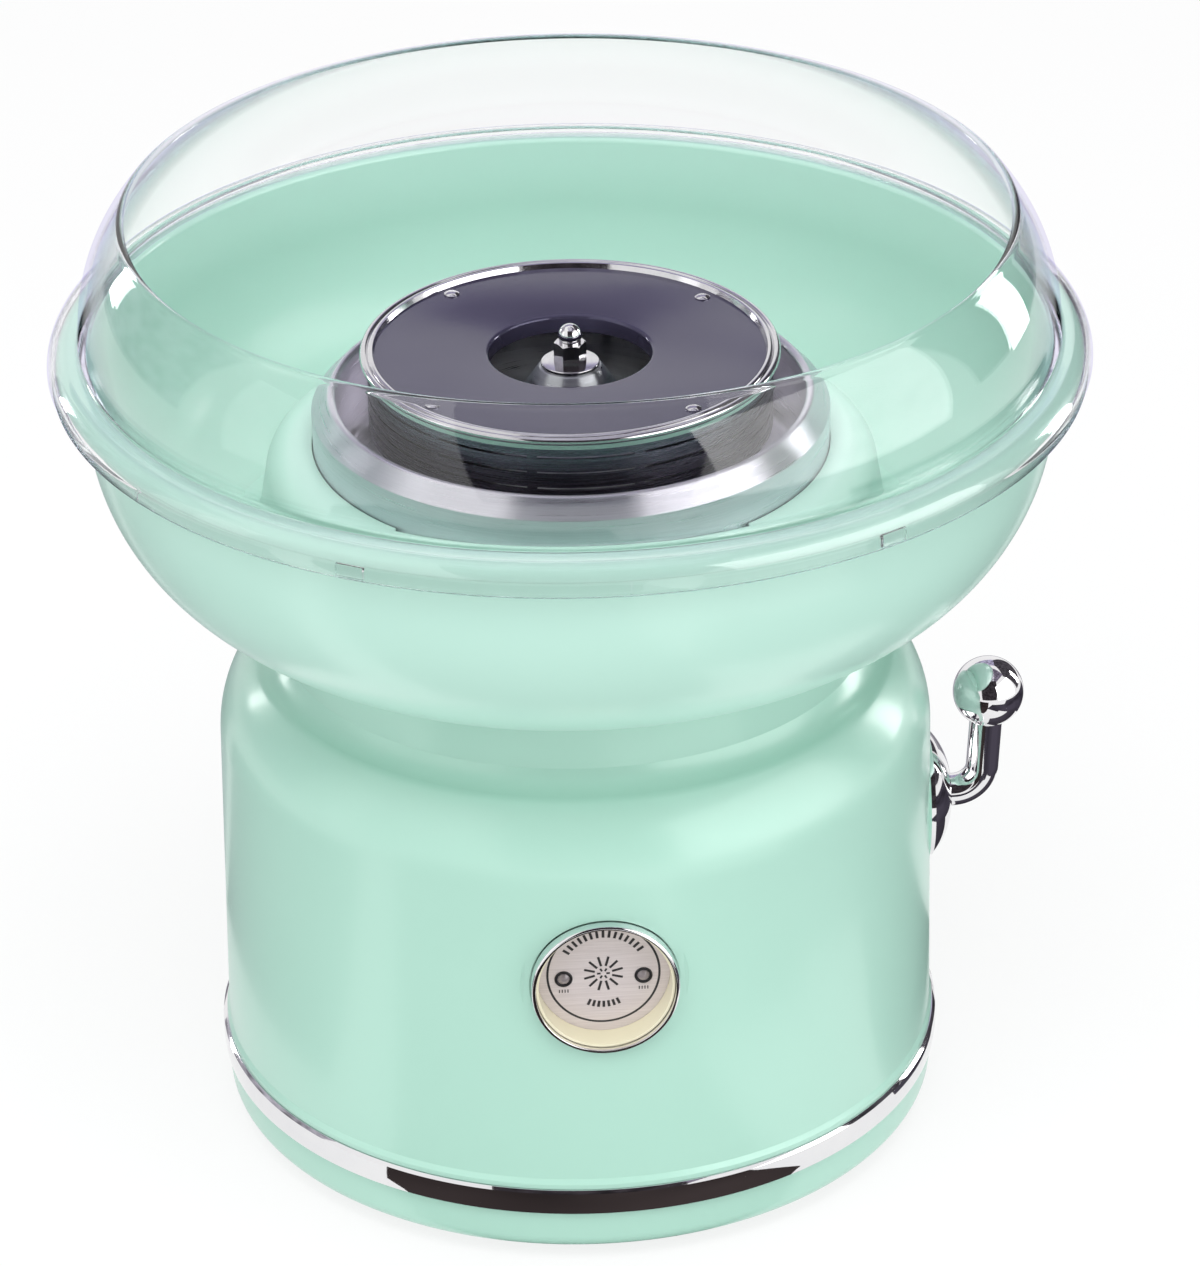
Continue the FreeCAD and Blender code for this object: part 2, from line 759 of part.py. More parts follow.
def makeBadge():
    turned("badge_bezel", [
        ("-badgeSeat", "bezelNeck"),
        ("-badgeSeat", "bezelRadius"),
        ("-(badgeFront - bezelRound)", "bezelRadius", "right", "bezelRound"),
        ("-badgeFront", "bezelRadius - bezelRound"),
        ("-badgeFront", "bezelInner + bezelBevel"),
        ("-(badgeFront - bezelBevel)", "bezelInner"),
        ("-bezelBack", "bezelInner"),
        ("-bezelBack", "bezelNeck")],
        "badgeHeight", "YZ_Plane", "H_Axis")
    turned("badge_liner", [
        ("-linerFront", "linerInner"),
        ("-linerFront", "linerOuter"),
        ("-boardFront", "linerOuter"),
        ("-boardFront", "linerInner"),
        ("-(plateBack - linerWall)", "linerInner"),
        ("-(plateBack - linerWall)", "linerInner - linerLedge"),
        ("-plateBack", "linerInner - linerLedge"),
        ("-plateBack", "linerInner")],
        "badgeHeight", "YZ_Plane", "H_Axis")

    plate = newBody("badge_plate", "badgeHeight")
    face = newSketch(plate, "XZ_Plane", "plateBack")
    drawCircle(face, "linerInner - running")
    for side in ("-lampOffset", "lampOffset"):
        drawCircle(face, "lampRimRadius", side, "-lampDrop")
    extrude(plate, face, "plateThick")

    rims = newBody("lamp_rims", "badgeHeight")
    for radius, start, length in (("lampRimRadius", "plateBack", "plateThick"),
                                  ("lampRimRadius + lampRimLip", "plateFront", "lampRimLip")):
        ring = newSketch(rims, "XZ_Plane", start)
        for side in ("-lampOffset", "lampOffset"):
            drawCircle(ring, radius, side, "-lampDrop")
            drawCircle(ring, "lampRadius", side, "-lampDrop")
        extrude(rims, ring, length)

    for label, side in (("ready_lamp", "-lampOffset"), ("start_lamp", "lampOffset")):
        lamp = newBody(label, "badgeHeight - lampDrop")
        lamp.setExpression("Placement.Base.x", bound(side))
        revolve(lamp, drawOutline(newSketch(lamp, "YZ_Plane"), [
            ("-(plateFront - lampDepth)", "0"),
            ("-(plateFront - lampDepth)", "lampRadius"),
            ("-plateFront", "lampRadius", "right", "2*lampRadius"),
            ("-(plateFront + lampRadius/2)", "0")]), "H_Axis")

    board = newBody("lamp_board", "badgeHeight")
    disc = drawCircle(newSketch(board, "XZ_Plane", "boardBack"), "bezelInner - slip")
    extrude(board, disc, "boardThick")
    led = newSketch(board, "XZ_Plane", "boardFront")
    for side in ("-lampOffset", "lampOffset"):
        drawCircle(led, "ledRadius", side, "-lampDrop")
    extrude(board, led, "plateFront - lampDepth - boardFront")


# ---- switch lever, turned about an axis along +X

def makeLever():
    turned("lever_escutcheon", [
        ("leverSeat", "switchNeck"),
        ("leverSeat", "escutcheonRadius"),
        ("leverSeat + escutcheonRim", "escutcheonRadius", "right", "escutcheonDome"),
        ("escutcheonTop", "rodRadius + 2*slip"),
        ("escutcheonTop - escutcheonRim", "rodRadius + slip"),
        ("leverSeat + escutcheonRim", "rodRadius + slip"),
        ("leverSeat + escutcheonRim/2", "switchNeck")],
        "leverHeight", "XZ_Plane", "H_Axis")

    turned("rotary_switch", [
        ("switchStart", "0"),
        ("switchStart", "switchRadius"),
        ("leverBossDepth", "switchRadius"),
        ("leverBossDepth", "switchNeck"),
        ("leverSeat - wall/2", "switchNeck"),
        ("leverSeat - wall/2", "spindleRadius + running"),
        ("spindleStart", "spindleRadius + running"),
        ("spindleStart", "0")],
        "leverHeight", "XZ_Plane", "H_Axis")

    turned("switch_spindle", [
        ("spindleStart + slip", "0"),
        ("spindleStart + slip", "spindleRadius"),
        ("rodStart", "spindleRadius"),
        ("rodStart", "0")],
        "leverHeight", "XZ_Plane", "H_Axis")

    arm = newBody("lever_arm", "leverHeight")
    path = drawOutline(newSketch(arm, "XZ_Plane"), [
        ("rodStart", "0"),
        ("bendStart", "0", "left", "bendRadius"),
        ("bendStart + bendRadius*cos(leverLean)", "bendRadius - bendRadius*sin(leverLean)"),
        ("bendStart + bendRadius*cos(leverLean) + rodRise*sin(leverLean)",
         "bendRadius - bendRadius*sin(leverLean) + rodRise*cos(leverLean)")], closed=False)
    section = drawCircle(newSketch(arm, "YZ_Plane", "rodStart"), "rodRadius")
    pipe = arm.newObject("PartDesign::AdditivePipe", "leverPipe")
    pipe.Profile = section
    pipe.Spine = (path, ["Edge1", "Edge2", "Edge3"])

    # the ball's own frame has its origin at the ball's centre and +Z along the leaning rod
    alongRod = "(ballRise - bendRadius + bendRadius*sin(leverLean))/cos(leverLean)"
    ball = newBody("lever_ball", "leverHeight + ballRise")
    ball.Placement = Placement(Vector(), Rotation(Vector(0, 1, 0), size("leverLean")))
    ball.setExpression("Placement.Rotation.Angle", bound("leverLean"))
    ball.setExpression("Placement.Base.x", bound(
        "bendStart + bendRadius*cos(leverLean) + %s*sin(leverLean)" % alongRod))
    ball.setExpression("Placement.Base.z", bound("leverHeight + ballRise"))
    mouth = "-sqrt(ballRadius^2 - rodRadius^2)"
    revolve(ball, drawOutline(newSketch(ball, "XZ_Plane"), [
        ("0", "-(%s - rodRise)" % alongRod),
        ("rodRadius", "-(%s - rodRise)" % alongRod),
        ("rodRadius", mouth, "left", "ballRadius"),
        ("ballRadius", "0", "left", "ballRadius"),
        ("0", "ballRadius")]))


def makeCordGland():
    turned("cord_gland", [
        ("glandSeat - wall - glandClip", "glandBore"),
        ("glandSeat - wall - glandClip", "glandEdge - wall/2"),
        ("glandSeat - glandClip", "glandNeck"),
        ("glandSeat", "glandNeck"),
        ("glandSeat", "glandEdge"),
        ("glandSeat + glandFlangeThick/2", "glandEdge"),
        ("glandSeat + glandFlangeThick", "glandEdge - wall/2"),
        ("glandSeat + glandFlangeThick", "glandBore")],
        "glandHeight", "YZ_Plane", "H_Axis")


# ---- heater tray and its fittings

def makeHeaterTray():
    body = turned("heater_tray", [
        ("trayHole", "trayFloor"),
        ("trayRadius - trayCorner", "trayFloor", "left", "trayCorner"),
        ("trayRadius", "trayFloor + trayCorner"),
        ("trayRadius", "trayRim - 2*rimRoll"),
        ("skirtRadius - traySheet", "skirtTop - traySheet"),
        ("skirtRadius - traySheet", "skirtBase"),
        ("skirtRadius", "skirtBase"),
        ("skirtRadius", "skirtTop"),
        ("rimRadius", "trayRim - rimRoll/2", "left", "rimRoll"),
        ("rimRadius - rimRoll", "trayRim", "left", "rimInnerRoll"),
        ("trayRadius - traySheet", "trayRim - rimInnerRoll"),
        ("trayRadius - traySheet", "trayFloor + trayCorner", "right", "trayCorner - traySheet"),
        ("trayRadius - trayCorner", "trayFloor + traySheet"),
        ("trayHole + traySheet", "trayFloor + traySheet"),
        ("trayHole + traySheet", "trayHoleTop"),
        ("trayHole", "trayHoleTop")])
    hole = drawCircle(newSketch(body, "XY_Plane", "trayFloor"), "trayScrewRadius",
                      "trayScrewCircle*cos(trayScrewTurn)", "trayScrewCircle*sin(trayScrewTurn)")
    holes = extrude(body, hole, "2*traySheet", "Pocket", reverse=True)
    repeatAround(body, [holes], "trayScrewCount")
    tails = newSketch(body, "XY_Plane", "trayFloor")
    for across, up in elementEnds():
        drawCircle(tails, "elementTail + slip", across, up)
    extrude(body, tails, "2*traySheet", "Pocket", reverse=True)

    stackedCylinders("tray_screws", "trayScrewCircle", [
        ("trayScrewRadius", "trayFloor - ledgeThick", "trayFloor + traySheet"),
        ("trayScrewHead", "trayFloor + traySheet", "trayFloor + traySheet + trayScrewHeadHeight")],
        "trayScrewCount", "trayScrewTurn")


def elementEnds():
    # the two ends of the heating ring, seen from above
    return (("elementCircle", "0"),
            ("elementCircle*cos(elementSweep)", "elementCircle*sin(elementSweep)"))


def makeHeaterElement():
    body = newBody("heater_element")
    ring = drawCircle(newSketch(body, "XZ_Plane"), "elementRadius", "elementCircle", "elementHeight")
    sweep = revolve(body, ring, sweep="elementSweep")
    sweep.Reversed = True
    tails = newSketch(body, "XY_Plane", "elementHeight")
    for across, up in elementEnds():
        drawCircle(tails, "elementTail", across, up)
    extrude(body, tails, "elementHeight - elementTailBase", reverse=True)

    stands = newBody("element_stands", turn="standTurn")
    block = drawBox(newSketch(stands, "XY_Plane", "trayFloor + traySheet"),
                    "elementCircle - standReach", "elementCircle + standReach",
                    "-standHalf", "standHalf")
    blocks = extrude(stands, block, "standTop - trayFloor - traySheet")
    repeatAround(stands, [blocks], "standCount")
    groove = drawCircle(newSketch(stands, "XZ_Plane"), "elementRadius + slip/3",
                        "elementCircle", "elementHeight")
    revolve(stands, groove, kind="Groove")
    slot = newSketch(stands, "XY_Plane", "elementHeight")
    drawCircle(slot, "elementCircle + elementRadius + slip/3")
    drawCircle(slot, "elementCircle - elementRadius - slip/3")
    extrude(stands, slot, "standTop - elementHeight", "Pocket", reverse=True)


def makeThermalGuards():
    body = newBody("thermostat")
    for radius, depth in (("thermostatRadius", "thermostatDepth/2"),
                          ("thermostatRadius - wall", "thermostatDepth")):
        disc = drawCircle(newSketch(body, "XY_Plane", "trayFloor"), radius, "-thermostatX")
        extrude(body, disc, depth, reverse=True)
    fuse = newBody("thermal_fuse", "trayFloor - fuseRadius")
    tube = drawCircle(newSketch(fuse, "YZ_Plane", "-fuseLength/2"), "fuseRadius", "-fuseY")
    extrude(fuse, tube, "fuseLength")


# ---- motor

def makeMotorPlate():
    body = newBody("motor_plate")
    disc = newSketch(body, "XY_Plane", "motorTop")
    drawCircle(disc, "motorPlateRadius")
    drawCircle(disc, "motorPlateHole")
    extrude(body, disc, "motorPlateThick")
    hole = drawCircle(newSketch(body, "XY_Plane", "motorPlateTop"), "screwRadius + slip",
                      "0", "hangCircle")
    holes = extrude(body, hole, "2*motorPlateThick", "Pocket")
    repeatAround(body, [holes], "hangCount")
    window = newSketch(body, "XY_Plane", "motorPlateTop")
    drawCircle(window, "hangRadius*2", "(hangCircle - 2*hangRadius)*cos(windowTurn)",
               "(hangCircle - 2*hangRadius)*sin(windowTurn)")
    windows = extrude(body, window, "2*motorPlateThick", "Pocket")
    repeatAround(body, [windows], "hangCount")

    mounts = newBody("motor_mounts")
    ring = newSketch(mounts, "XY_Plane", "motorPlateTop")
    drawCircle(ring, "mountRadius", "0", "hangCircle")
    drawCircle(ring, "screwRadius + slip", "0", "hangCircle")
    rings = extrude(mounts, ring, "hangBase - motorPlateTop")
    repeatAround(mounts, [rings], "hangCount")

    stackedCylinders("motor_screws", "hangCircle", [
        ("screwHeadRadius", "motorTop - screwHeadHeight", "motorTop"),
        ("pilotRadius", "motorTop", "deckHeight - 2*wall")],
        "hangCount", "hangTurn")


def makeMotor():
    turned("motor_can", [
        ("bushRadius", "motorTop"),
        ("motorRadius", "motorTop"),
        ("motorRadius", "motorBase"),
        ("motorRadius - motorSheet", "motorBase"),
        ("motorRadius - motorSheet", "motorTop - motorSheet"),
        ("bushRadius", "motorTop - motorSheet")])
    turned("motor_end_cap", [
        ("bushRadius", "motorBase - capDepth"),
        ("motorRadius - capDepth", "motorBase - capDepth"),
        ("motorRadius", "motorBase - capDepth/2"),
        ("motorRadius", "motorBase"),
        ("bushRadius", "motorBase")])

    magnets = newBody("motor_magnets")
    ring = newSketch(magnets, "XY_Plane", "motorBase + magnetRise")
    drawCircle(ring, "motorRadius - motorSheet")
    drawCircle(ring, "magnetInner")
    extrude(magnets, ring, "motorHeight - motorSheet - 2*magnetRise")

    bushes = newBody("motor_bushes")
    for start in ("motorBase - capDepth", "motorTop - bushLength + motorSheet"):
        bush = newSketch(bushes, "XY_Plane", start)
        drawCircle(bush, "bushRadius")
        drawCircle(bush, "shaftRadius + running")
        extrude(bushes, bush, "bushLength")

    turned("motor_rotor", [
        ("shaftRadius", "motorBase + slip"),
        ("commutatorRadius", "motorBase + slip"),
        ("commutatorRadius", "motorBase + rotorRise"),
        ("rotorRadius", "motorBase + rotorRise"),
        ("rotorRadius", "motorTop - rotorRise"),
        ("commutatorRadius", "motorTop - rotorRise"),
        ("commutatorRadius", "motorTop - bushLength"),
        ("shaftRadius", "motorTop - bushLength")])

    fan = newBody("cooling_fan")
    hub = newSketch(fan, "XY_Plane", "fanBase")
    drawCircle(hub, "fanHub")
    drawCircle(hub, "shaftRadius")
    extrude(fan, hub, "fanHeight")
    blade = drawBox(newSketch(fan, "XY_Plane", "fanBase"), "fanHub - slip", "fanRadius",
                    "-fanBladeHalf", "fanBladeHalf")
    blades = extrude(fan, blade, "fanHeight")
    repeatAround(fan, [blades], "fanBlades")

    block = newBody("terminal_block")
    base = drawBox(newSketch(block, "XY_Plane", "footHeight + wall"), "-blockLength/2",
                   "blockLength/2", "blockY - blockWidth/2", "blockY + blockWidth/2")
    extrude(block, base, "blockHeight")


# ---- spinning head

def makeHead():
    turned("drive_shaft", [
        ("0", "shaftBase"),
        ("shaftRadius", "shaftBase"),
        ("shaftRadius", "shaftTop"),
        ("0", "shaftTop")])
    turned("drive_collar", [
        ("shaftRadius", "collarBase"),
        ("collarRadius", "collarBase"),
        ("collarRadius", "panBossTop - panSheet"),
        ("shaftRadius", "panBossTop - panSheet")])
    turned("head_pan", [
        ("shaftRadius", "panBossTop - panSheet"),
        ("panBossRadius - panSheet/2", "panBossTop - panSheet"),
        ("panBossFoot - panSheet/2", "panBossLevel - panSheet"),
        ("panFlat", "panFloor - panSheet"),
        ("headPanRadius - headPanCorner", "panFloor - panSheet", "left", "headPanCorner"),
        ("headPanRadius", "panFloor - panSheet + headPanCorner"),
        ("headPanRadius", "headPanLip"),
        ("headPanRadius - panSheet", "headPanLip"),
        ("headPanRadius - panSheet", "panFloor - panSheet + headPanCorner", "right",
         "headPanCorner - panSheet"),
        ("headPanRadius - headPanCorner", "panFloor"),
        ("panFlat", "panFloor"),
        ("panBossFoot", "panBossLevel"),
        ("panBossRadius", "panBossTop"),
        ("shaftRadius", "panBossTop")])

    band = turned("head_band", [
        ("headBandRadius - headBandSheet", "headBandBase"),
        ("headBandRadius", "headBandBase"),
        ("headBandRadius", "headBandTop"),
        ("headBandRadius - headBandSheet", "headBandTop")])
    slit = newSketch(band, "YZ_Plane")
    for step in range(int(size("slitRows"))):
        middle = "slitFirst + %d*slitPitch" % step
        drawBox(slit, "-slitLength/2", "slitLength/2", middle + " - slitHalf", middle + " + slitHalf")
    slits = extrude(band, slit, "headBandRadius + wall", "Pocket", reverse=True)
    repeatAround(band, [slits], "slitCount")

    cover = turned("head_cover", [
        ("coverHole", "coverTop - coverCollar"),
        ("coverHole + panSheet", "coverTop - coverCollar"),
        ("coverHole + panSheet", "headBandTop"),
        ("coverRadius", "headBandTop"),
        ("coverRadius", "coverTop"),
        ("coverHole + coverRound", "coverTop", "left", "coverRound"),
        ("coverHole", "coverTop - coverRound")])
    turnedX = "rivetCircle*cos(rivetTurn)"
    turnedY = "rivetCircle*sin(rivetTurn)"
    hole = drawCircle(newSketch(cover, "XY_Plane", "headBandTop"), "rivetRadius", turnedX, turnedY)
    holes = extrude(cover, hole, "2*panSheet", "Pocket", reverse=True)
    repeatAround(cover, [holes], "rivetCount")

    turned("head_rim", [
        ("rimInner", "coverTop"),
        ("headBandRadius + slip/3", "coverTop"),
        ("headBandRadius + slip/3", "rimFoot"),
        ("rimOuter - rimBead", "rimFoot"),
        ("rimOuter - rimBead", "rimTop - 2*rimBead", "left", "rimBead"),
        ("rimOuter", "rimTop - rimBead", "left", "rimBead"),
        ("rimOuter - rimBead", "rimTop", "left", "rimBead"),
        ("(rimInner + rimOuter)/2", "rimTop - rimValley", "left", "rimBead"),
        ("rimInner + rimBead/2", "rimTop", "left", "rimBead")])

    rivets = newBody("cover_rivets", turn="rivetTurn")
    shank = drawCircle(newSketch(rivets, "XY_Plane", "panFloor"), "rivetRadius", "rivetCircle")
    shanks = extrude(rivets, shank, "coverTop - panFloor")
    head = drawCircle(newSketch(rivets, "XY_Plane", "coverTop"), "rivetHead", "rivetCircle")
    heads = extrude(rivets, head, "rivetDome/2")
    dome = drawCircle(newSketch(rivets, "XY_Plane", "coverTop + rivetDome/2"), "rivetHead",
                      "rivetCircle")
    domes = extrude(rivets, dome, "rivetDome/2", taper="-rivetSlope")
    repeatAround(rivets, [shanks, heads, domes], "rivetCount")

    washer = newBody("head_washer")
    ring = newSketch(washer, "XY_Plane", "panBossTop")
    drawCircle(ring, "washerRadius")
    drawCircle(ring, "shaftRadius")
    extrude(washer, ring, "washerThick")

    nut = newBody("head_nut")
    hexagon = newSketch(nut, "XY_Plane", "nutBase")
    drawOutline(hexagon, [("nutAcross/sqrt(3)*cos(%d)" % angle, "nutAcross/sqrt(3)*sin(%d)" % angle)
                          for angle in range(0, 360, 60)])
    drawCircle(hexagon, "shaftRadius")
    extrude(nut, hexagon, "nutHeight")
    chamfer = drawOutline(newSketch(nut, "XZ_Plane"), [
        ("nutAcross/2", "nutTop"),
        ("nutAcross", "nutTop"),
        ("nutAcross", "nutTop - nutAcross/4")])
    revolve(nut, chamfer, kind="Groove")

    turned("shaft_cap", [
        ("0", "shaftTop"),
        ("shaftRadius", "shaftTop"),
        ("shaftRadius", "nutTop"),
        ("capWaist", "nutTop"),
        ("capWaist", "nutTop + capWaistHeight/2"),
        ("capRadius", "nutTop + capWaistHeight"),
        ("capRadius", "capTop - capRadius", "left", "capRadius"),
        ("0", "capTop")])


# ---- bowl and guard

def makeBowl():
    blendFoot = "hubSide + hubBlend"
    floorLevel = "bowlArcHeight - sqrt((bowlInnerArc)^2 - (%s - bowlArcCentre)^2)" % blendFoot
    turned("bowl", [
        ("bowlFootInner", "deckHeight"),
        ("bowlFootOuter", "deckHeight"),
        ("bowlFootOuter", "bowlArcFoot + bowlFlare", "left", "bowlArcRadius"),
        ("bowlArcCentre + bowlArcRadius", "bowlArcHeight"),
        ("bowlArcCentre + bowlArcRadius + bowlFlare", "bowlLipBase"),
        ("bowlLipRadius - bowlFlare", "bowlLipBase", "left", "bowlFlare"),
        ("bowlLipRadius", "bowlLipBase + bowlFlare"),
        ("bowlLipRadius", "bowlLipTop - lipRound", "left", "lipRound"),
        ("bowlLipRadius - lipRound", "bowlLipTop"),
        ("bowlArcCentre + bowlInnerArc + 2*bowlFlare", "bowlLipTop", "left", "bowlWall"),
        ("bowlArcCentre + bowlInnerArc + bowlFlare", "bowlLipTop - bowlFlare"),
        ("bowlArcCentre + bowlInnerArc", "bowlArcHeight", "right", "bowlInnerArc"),
        (blendFoot, floorLevel, "right", "hubBlend"),
        ("hubSide", "hubSideBase"),
        ("hubCrest + hubRound", "hubTop - hubRound", "left", "hubRound"),
        ("hubCrest", "hubTop"),
        ("hubInner + hubLip", "hubTop", "left", "hubLip"),
        ("hubInner", "hubTop - hubLip"),
        ("hubInner", "hubTop - bowlWall"),
        ("hubCrest", "hubTop - bowlWall", "right", "hubRound - bowlWall"),
        ("hubCrest + hubRound - bowlWall", "hubTop - hubRound"),
        ("hubSide - bowlWall", "deckHeight + 2*bowlWall"),
        ("bowlFootInner", "deckHeight + bowlWall")])


def makeGuard():
    topLevel = "(guardTop - guardArcHeight)"
    baseLevel = "(guardBase - guardArcHeight)"
    outerBase = "guardArcCentre + sqrt(guardArcRadius^2 - %s^2)" % baseLevel
    innerBase = "guardArcCentre + sqrt((guardInnerArc)^2 - %s^2)" % baseLevel
    body = turned("guard", [
        ("flangeCentre + flangeRadius - guardWall - skirtTuck", "skirtLip"),
        ("flangeCentre + flangeRadius - skirtTuck", "skirtLip"),
        ("flangeCentre + flangeRadius", "flangeHeight", "left", "flangeRadius"),
        ("flangeCentre", "flangeHeight + flangeRadius"),
        (outerBase + " + guardBlend", "flangeHeight + flangeRadius", "right", "guardBlend"),
        (outerBase, "guardBase", "left", "guardArcRadius"),
        ("guardArcCentre + sqrt(guardArcRadius^2 - %s^2)" % topLevel, "guardTop",
         "left", "guardBead"),
        ("guardArcCentre + sqrt((guardInnerArc)^2 - %s^2)" % topLevel, "guardTop",
         "right", "guardInnerArc"),
        (innerBase, "guardBase"),
        (innerBase, "flangeHeight + flangeRadius - guardWall"),
        ("flangeCentre", "flangeHeight + flangeRadius - guardWall", "right",
         "flangeRadius - guardWall"),
        ("flangeCentre + flangeRadius - guardWall", "flangeHeight")])
    clip = drawBox(newSketch(body, "XY_Plane", "skirtLip"), "clipInner",
                   "flangeCentre + flangeRadius - guardWall/2", "-clipHalf", "clipHalf")
    clips = extrude(body, clip, "clipHeight")
    repeatAround(body, [clips], "clipCount")


makers = (makeBasePan, makeTrimBand, makeFeetAndScrews, makeBodyShell, makeBadge, makeLever,
          makeCordGland, makeHeaterTray, makeHeaterElement, makeThermalGuards, makeMotorPlate,
          makeMotor, makeHead, makeBowl, makeGuard)
for make in makers:
    make()
    doc.recompute()
    print(make.__name__)

faults = []
for item in doc.Objects:
    if "Invalid" in item.State or "Error" in item.State:
        faults.append("%s is in state %s" % (item.Label, item.State))
    if item.TypeId == "Sketcher::SketchObject" and not item.FullyConstrained:
        faults.append(item.Label + " is not fully constrained")
for piece in pieces:
    shape = piece.Shape
    if shape.isNull() or not shape.isValid() or shape.Volume <= 0:
        faults.append(piece.Label + " has no valid solid")
if faults:
    print("\n".join(faults))
    sys.exit(1)

os.makedirs("parts", exist_ok=True)
for piece in pieces:
    piece.Shape.exportStep("parts/%s.step" % piece.Label)
    box = piece.Shape.optimalBoundingBox(False)
    print("%-18s %d solids, %9.1f mm3, z %.2f to %.2f, x %.2f to %.2f" % (
        piece.Label, len(piece.Shape.Solids), piece.Shape.Volume, box.ZMin, box.ZMax,
        box.XMin, box.XMax))
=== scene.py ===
import math
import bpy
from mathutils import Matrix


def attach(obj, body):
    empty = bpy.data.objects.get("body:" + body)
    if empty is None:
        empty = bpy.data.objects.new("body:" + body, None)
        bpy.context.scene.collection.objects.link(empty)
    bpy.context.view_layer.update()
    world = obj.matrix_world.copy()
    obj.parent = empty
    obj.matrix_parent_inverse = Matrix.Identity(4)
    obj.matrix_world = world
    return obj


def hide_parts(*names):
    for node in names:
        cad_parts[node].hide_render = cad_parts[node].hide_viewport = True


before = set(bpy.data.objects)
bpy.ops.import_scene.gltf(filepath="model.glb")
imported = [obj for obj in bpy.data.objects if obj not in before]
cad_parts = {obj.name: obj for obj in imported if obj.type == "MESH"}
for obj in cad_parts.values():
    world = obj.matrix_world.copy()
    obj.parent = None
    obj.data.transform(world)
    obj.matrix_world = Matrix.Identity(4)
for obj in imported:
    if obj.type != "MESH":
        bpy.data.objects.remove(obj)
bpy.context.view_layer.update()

from types import SimpleNamespace

import bmesh
import bpy
from mathutils import Matrix, Vector

# Table-top cotton candy machine. Sizes of its pieces are millimetres; meshes are metres.

mm = 0.001
weldGap = 1e-6          # metres
axisGap = 0.02          # profiles that close on the axis stop this short of it
scene = bpy.context.scene

# levels and seats that several pieces share
shared = {"bandFoot": 16.5, "bandTop": 24.7, "lever": 88.75, "leverSeat": 102.4,
          "badge": 91.4, "badgeSeat": 101.2, "deck": 167.0}

# small helpers for node trees


def setInputs(node, values):
    for name, value in values.items():
        node.inputs[name].default_value = value


def addNode(tree, kind, inputs=None, **settings):
    node = tree.nodes.new(kind)
    for name, value in settings.items():
        setattr(node, name, value)
    setInputs(node, inputs or {})
    return node


def plug(tree, source, target):
    tree.links.new(source, target)


def chain(tree, *nodes):
    # the first output of each node goes to the first input of the next one
    for node, following in zip(nodes, nodes[1:]):
        plug(tree, node.outputs[0], following.inputs[0])


def newTree(name, inputs):
    # a geometry tree with a geometry input, named inputs and a geometry output
    tree = bpy.data.node_groups.new(name, "GeometryNodeTree")
    tree.interface.new_socket("Geometry", in_out="INPUT", socket_type="NodeSocketGeometry")
    for label, kind, value in inputs:
        socket = tree.interface.new_socket(label, in_out="INPUT", socket_type="NodeSocket" + kind)
        if value is not None:
            socket.default_value = value
    tree.interface.new_socket("Geometry", in_out="OUTPUT", socket_type="NodeSocketGeometry")
    return tree, tree.nodes.new("NodeGroupInput"), tree.nodes.new("NodeGroupOutput")


def closeTree(tree, last, start, end):
    # what the last node made, real and with its material, is the tree's result
    real = addNode(tree, "GeometryNodeRealizeInstances")
    finish = addNode(tree, "GeometryNodeSetMaterial")
    chain(tree, last, real, finish, end)
    plug(tree, start.outputs["Material"], finish.inputs["Material"])
    return tree


# small helpers for objects


def addObject(name, data):
    made = bpy.data.objects.new(name, data)
    scene.collection.objects.link(made)
    return made


def dropObject(thing):
    mesh = thing.data
    bpy.data.objects.remove(thing)
    if mesh is not None and mesh.users == 0:
        bpy.data.meshes.remove(mesh)


def addWork(name, work):
    # a finished bmesh as an object
    mesh = bpy.data.meshes.new(name)
    work.to_mesh(mesh)
    work.free()
    return addObject(name, mesh)


def takeResult(thing, modifier):
    # the mesh that a modifier gives; the modifier itself goes
    graph = bpy.context.evaluated_depsgraph_get()
    mesh = bpy.data.meshes.new_from_object(thing.evaluated_get(graph), depsgraph=graph)
    thing.modifiers.remove(modifier)
    return mesh


def runTree(source, tree, settings, name):
    # evaluates a tree on an object, which makes way for the result as a plain mesh
    modifier = source.modifiers.new(tree.name, "NODES")
    modifier.node_group = tree
    for item in tree.interface.items_tree:
        if item.in_out == "INPUT" and item.name in settings:
            modifier[item.identifier] = settings[item.name]
    made = addObject(name, takeResult(source, modifier))
    dropObject(source)
    return made


def cutAway(piece, cutter):
    # boolean difference, applied
    modifier = piece.modifiers.new("cut", "BOOLEAN")
    modifier.operation = "DIFFERENCE"
    modifier.solver = "EXACT"
    modifier.object = cutter
    old = piece.data
    piece.data = takeResult(piece, modifier)
    bpy.data.meshes.remove(old)
    dropObject(cutter)


def smoothShade(piece, angle):
    # smooth faces, with the edges sharper than the angle left crisp
    work = bmesh.new()
    work.from_mesh(piece.data)
    for face in work.faces:
        face.smooth = True
    for edge in work.edges:
        if len(edge.link_faces) == 2:
            edge.smooth = edge.calc_face_angle() < math.radians(angle)
    work.to_mesh(piece.data)
    work.free()


def faceOutwards(piece):
    work = bmesh.new()
    work.from_mesh(piece.data)
    bmesh.ops.remove_doubles(work, verts=work.verts, dist=weldGap / 10)
    bmesh.ops.recalc_face_normals(work, faces=work.faces)
    work.to_mesh(piece.data)
    work.free()


def settle(piece, body, nodes=(), angle=30):
    # last touches: shading, the body it rides on and the nodes it stands for
    smoothShade(piece, angle)
    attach(piece, body)
    if nodes:
        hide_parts(*nodes)


def place(piece, matrix):
    # puts a place into the mesh, so that the object stays at the origin
    piece.data.transform(matrix)
    piece.data.update()
    return piece


def shift(across, along=0, up=0):
    return Matrix.Translation((across * mm, along * mm, up * mm))


